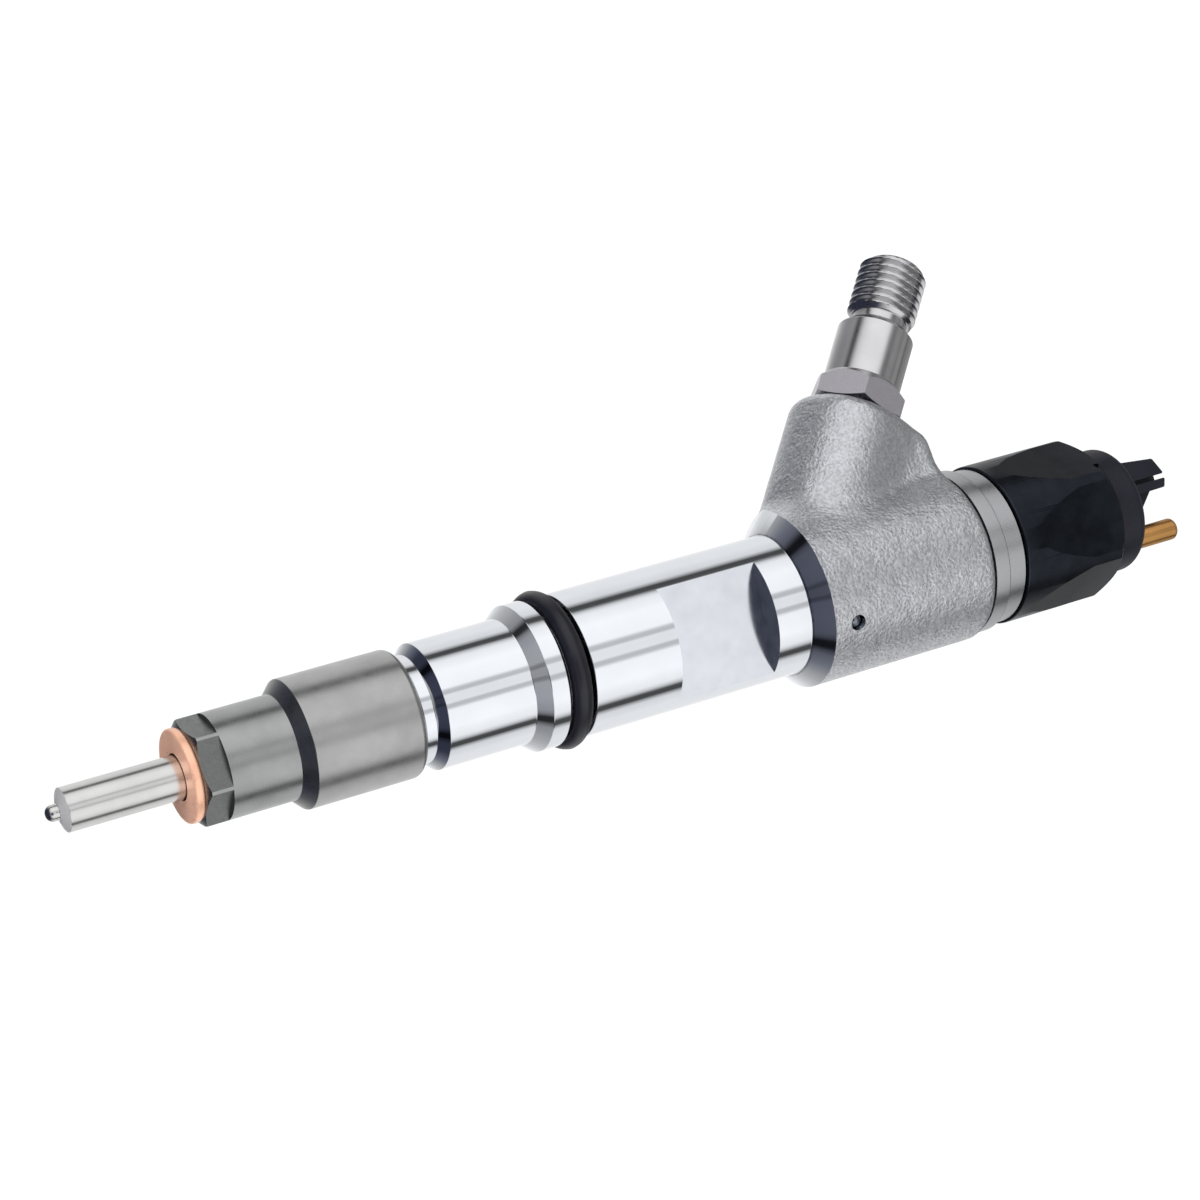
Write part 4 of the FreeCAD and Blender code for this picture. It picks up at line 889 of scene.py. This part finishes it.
def make_cap():
    """Plastic cap with its key post: a head and a lip that stand out to the sides of a thin web."""
    obj = lathe("cap", [
        (CAP_FRONT_X, CAP_FRONT_R), (CAP_FRONT_X, CAP_R, 0.2), (CAP_FACE_X, CAP_R, CAP_ROUND),
        (CAP_FACE_X, 0), (CAP_FRONT_X, 0)], 192)
    painted(obj, nylon)
    end = cap_rear_x
    root = CAP_FACE_X - 1.0
    head_low, head_high = HEAD_HEIGHTS
    lip_low, lip_high = LIP_HEIGHTS
    web_low, web_high = WEB_HEIGHTS
    web_end_low, web_end_high = WEB_END_HEIGHTS
    head = extruded("head", [
        (root, head_low), (root, head_high), (end - HEAD_SLOPE, HEAD_END_HEIGHT, 0.5), (end, head_low, 0.25)],
        POST_HALF_WIDTH, TERMINAL_CLOCK)
    lip = extruded("lip", [
        (root, lip_low), (root, lip_high), (end, lip_high, 0.25), (end - LIP_SLOPE, LIP_END_HEIGHT, 0.4)],
        POST_HALF_WIDTH, TERMINAL_CLOCK)
    web = extruded("web", [
        (root, web_low), (CAP_FACE_X + 0.4, web_low), (end - WEB_FOOT_BACK, lip_low),
        (end - WEB_END_BACK, web_end_low), (end - WEB_END_BACK, web_end_high), (root, web_high)],
        POST_WEB_HALF_WIDTH, TERMINAL_CLOCK)
    for part in (head, lip, web):
        boolean(obj, part, "UNION", nylon)
    bevel(obj, 0.18, 3, 35)
    return finish_piece(smooth(obj, 25), "injector", "black_plastic", "terminal_cap")


def make_pin(side):
    """Gold-plated terminal pin with a thinner root inside the cap."""
    low, high = span("terminal_pin_" + side)
    obj = lathe("gold_pin_" + side, [
        (PIN_FRONT_X, 0), (PIN_FRONT_X, PIN_ROOT_R), (PIN_STEP_X, PIN_ROOT_R), (PIN_STEP_X, PIN_R, 0.15),
        (high.x, PIN_R, PIN_END_ROUND), (high.x, 0)], 96)
    place(obj, Matrix.Translation((0, (low.y + high.y) / 2 * MM, (low.z + high.z) / 2 * MM)))
    painted(obj, gold)
    return finish_piece(smooth(obj), "injector", "gold_plate", "terminal_pin_" + side)


# ---- inlet connector ----------------------------------------------------------------------------
def thread_radius(x, r, angles):
    """Crest radius on the thread, cut down to a helical groove with a rounded root."""
    if not THREAD_S < x <= INLET_END_S or r < 4.5:
        return np.full(len(angles), r)
    phase = np.mod((x - THREAD_S) / THREAD_PITCH - angles / (2 * math.pi), 1.0)
    wave = np.abs(2 * phase - 1)
    groove = np.clip((wave - 0.16) / 0.66, 0, 1)
    groove = groove * groove * (3 - 2 * groove) * 0.35 + groove * 0.65
    return np.minimum(r, INLET_THREAD_R - THREAD_DEPTH * groove)


def make_inlet():
    """Connector with its nose, hexagon, sleeve, relief groove and helical thread, bored through."""
    count = 180
    end_r = INLET_THREAD_R - THREAD_LEAD_IN
    screw = []
    for index in range(1, count):
        s = THREAD_S + (INLET_END_S - THREAD_S) * index / count
        screw.append((s, min(INLET_THREAD_R, ROOT_GROOVE_R + (s - THREAD_S), end_r + (INLET_END_S - s))))
    obj = lathe("inlet_union", [
        (NOSE_S, INLET_BORE_R), (NOSE_S, NOSE_R - 0.6), (NOSE_S + 0.6, NOSE_R), (ROOT_S, NOSE_R),
        (ROOT_S, ROOT_R - 0.8), (ROOT_S + 0.8, ROOT_R), (BOSS_LENGTH - 1.0, ROOT_R),
        (BOSS_LENGTH - 0.6, ROOT_GROOVE_R), (INLET_HEX_S, ROOT_GROOVE_R),
        (INLET_HEX_S, INLET_HEX_AF / 2 - 0.1), (INLET_HEX_S + 0.5, INLET_HEX_CORNER_R),
        (SLEEVE_S - INLET_HEX_CORNER_R + SLEEVE_R, INLET_HEX_CORNER_R),
        (SLEEVE_S, SLEEVE_R, 0.2), (RELIEF_S - SLEEVE_R + 5.3, SLEEVE_R, 0.2), (RELIEF_S, 5.3, 0.1),
        (RELIEF_S, RELIEF_R, 0.1), (THREAD_S, RELIEF_R, 0.1), (THREAD_S, ROOT_GROOVE_R)] + screw + [
        (INLET_END_S, end_r, 0.08), (INLET_END_S, MOUTH_R, 0.15), (INLET_END_S - MOUTH_DEPTH, FILTER_BORE_R),
        (FILTER_BORE_S, FILTER_BORE_R), (FILTER_BORE_S, INLET_BORE_R)], 144, thread_radius)
    painted(obj, inlet_skin)
    hexagon = prism("hexagon", [(10, INLET_HEX_AF / 2), (70, INLET_HEX_AF / 2)], 6, INLET_HEX_CLOCK)
    boolean(obj, hexagon, "INTERSECT", inlet_flat)
    place(obj, IN_ARM)
    return finish_piece(smooth(obj, 24), "injector", "inlet_steel", "inlet_connector")


# ---- studio -------------------------------------------------------------------------------------
def calculated(tree, operation, *values):
    """Result of a maths node whose inputs are sockets or numbers."""
    made = tree.nodes.new("ShaderNodeMath")
    made.operation = operation
    for socket, value in zip(made.inputs, values):
        if isinstance(value, float):
            socket.default_value = value
        else:
            tree.links.new(value, socket)
    return made.outputs[0]


def weighed(tree, direction, weights):
    """Dot product of a direction and three weights."""
    made = tree.nodes.new("ShaderNodeVectorMath")
    made.operation = "DOT_PRODUCT"
    made.inputs[1].default_value = weights
    tree.links.new(direction, made.inputs[0])
    return made.outputs["Value"]


def multiplier(tree):
    """Node that multiplies two colours."""
    made = tree.nodes.new("ShaderNodeMix")
    made.data_type = "RGBA"
    made.blend_type = "MULTIPLY"
    made.inputs["Factor"].default_value = 1.0
    return made


def make_world():
    """Pale tent round the object, with dark gaps above, below, past both ends and where the camera stands."""
    world = bpy.data.worlds.new("tent")
    world.use_nodes = True
    bpy.context.scene.world = world
    tree = world.node_tree
    nodes, links = tree.nodes, tree.links
    direction = nodes.new("ShaderNodeTexCoord").outputs["Generated"]
    split = nodes.new("ShaderNodeSeparateXYZ")
    links.new(direction, split.inputs["Vector"])
    clock = calculated(tree, "ARCTAN2", split.outputs["Y"], split.outputs["Z"])
    clock = calculated(tree, "SUBTRACT", clock, math.radians(FRONT_CLOCK))
    clock = calculated(tree, "WRAP", clock, math.pi, -math.pi)
    clock = calculated(tree, "ABSOLUTE", clock)
    clock = calculated(tree, "DIVIDE", clock, math.pi)
    tent, gaps, ends = multiplier(tree), multiplier(tree), multiplier(tree)
    ramp(tree, clock, [(angle / 180, value) for angle, value in TENT_BY_CLOCK], tent.inputs["A"])
    for weights, stops, into in ((TIP_WEIGHTS, TENT_BY_TIP, "A"), (TAIL_WEIGHTS, TENT_BY_TAIL, "B")):
        place_along = calculated(tree, "ADD", weighed(tree, direction, weights), 0.5)
        ramp(tree, place_along, stops, ends.inputs[into])
    links.new(ends.outputs["Result"], gaps.inputs["A"])
    ramp(tree, weighed(tree, direction, CAMERA_SIDE), TENT_BY_CAMERA_SIDE, gaps.inputs["B"])
    links.new(gaps.outputs["Result"], tent.inputs["B"])
    background = nodes["Background"]
    background.inputs["Strength"].default_value = TENT_STRENGTH
    links.new(tent.outputs["Result"], background.inputs["Color"])
    backdrop = nodes.new("ShaderNodeBackground")
    backdrop.inputs["Color"].default_value = (1, 1, 1, 1)
    backdrop.inputs["Strength"].default_value = BACKDROP_STRENGTH
    choice = nodes.new("ShaderNodeMixShader")
    links.new(nodes.new("ShaderNodeLightPath").outputs["Is Camera Ray"], choice.inputs["Fac"])
    links.new(background.outputs[0], choice.inputs[1])
    links.new(backdrop.outputs[0], choice.inputs[2])
    links.new(choice.outputs[0], nodes["World Output"].inputs["Surface"])


def make_floor():
    """Plain pale floor, which the metal doesn't reflect."""
    corners = [(x * FLOOR_HALF, y * FLOOR_HALF, FLOOR_Z) for x, y in ((-1, -1), (1, -1), (1, 1), (-1, 1))]
    floor = mesh_object("floor", corners, [(0, 1, 2, 3)])
    pale, _, principled = shader("pale_floor", 0.0, 0.9, (0.9, 0.9, 0.9), Emission_Strength=FLOOR_GLOW)
    principled.inputs["Emission Color"].default_value = (1, 1, 1, 1)
    painted(floor, pale)
    floor.visible_glossy = False


def make_lamp():
    """Soft lamp on the camera's side, which the metal doesn't reflect."""
    lamp = bpy.data.lights.new("softbox", "AREA")
    lamp.shape = "RECTANGLE"
    lamp.size, lamp.size_y = LAMP_SIZE
    lamp.energy = LAMP_ENERGY
    obj = bpy.data.objects.new("softbox", lamp)
    obj.location = LAMP_AT
    obj.rotation_euler = (LAMP_AIM - LAMP_AT).to_track_quat("-Z", "Y").to_euler()
    obj.visible_glossy = False
    bpy.context.scene.collection.objects.link(obj)


def make_camera():
    """Camera at the fitted place, turned to the fitted directions."""
    data = bpy.data.cameras.new("camera")
    data.lens = LENS
    data.sensor_width = 36.0
    data.clip_start = 0.01
    camera = bpy.data.objects.new("camera", data)
    turn = Matrix((CAMERA_RIGHT, CAMERA_UP, -CAMERA_FORWARD)).transposed().to_4x4()
    camera.matrix_world = Matrix.Translation(CAMERA_AT) @ turn
    bpy.context.scene.collection.objects.link(camera)
    bpy.context.scene.camera = camera


dress_cad_nodes()
make_camera()
make_world()
make_floor()
make_lamp()
make_nozzle()
make_washer()
make_retaining_nut()
make_turned_body()
make_o_ring()
make_rear_rings()
make_forging()
make_solenoid_nut()
make_cap()
make_pin("near")
make_pin("far")
make_inlet()
bpy.context.scene.view_settings.view_transform = "Standard"
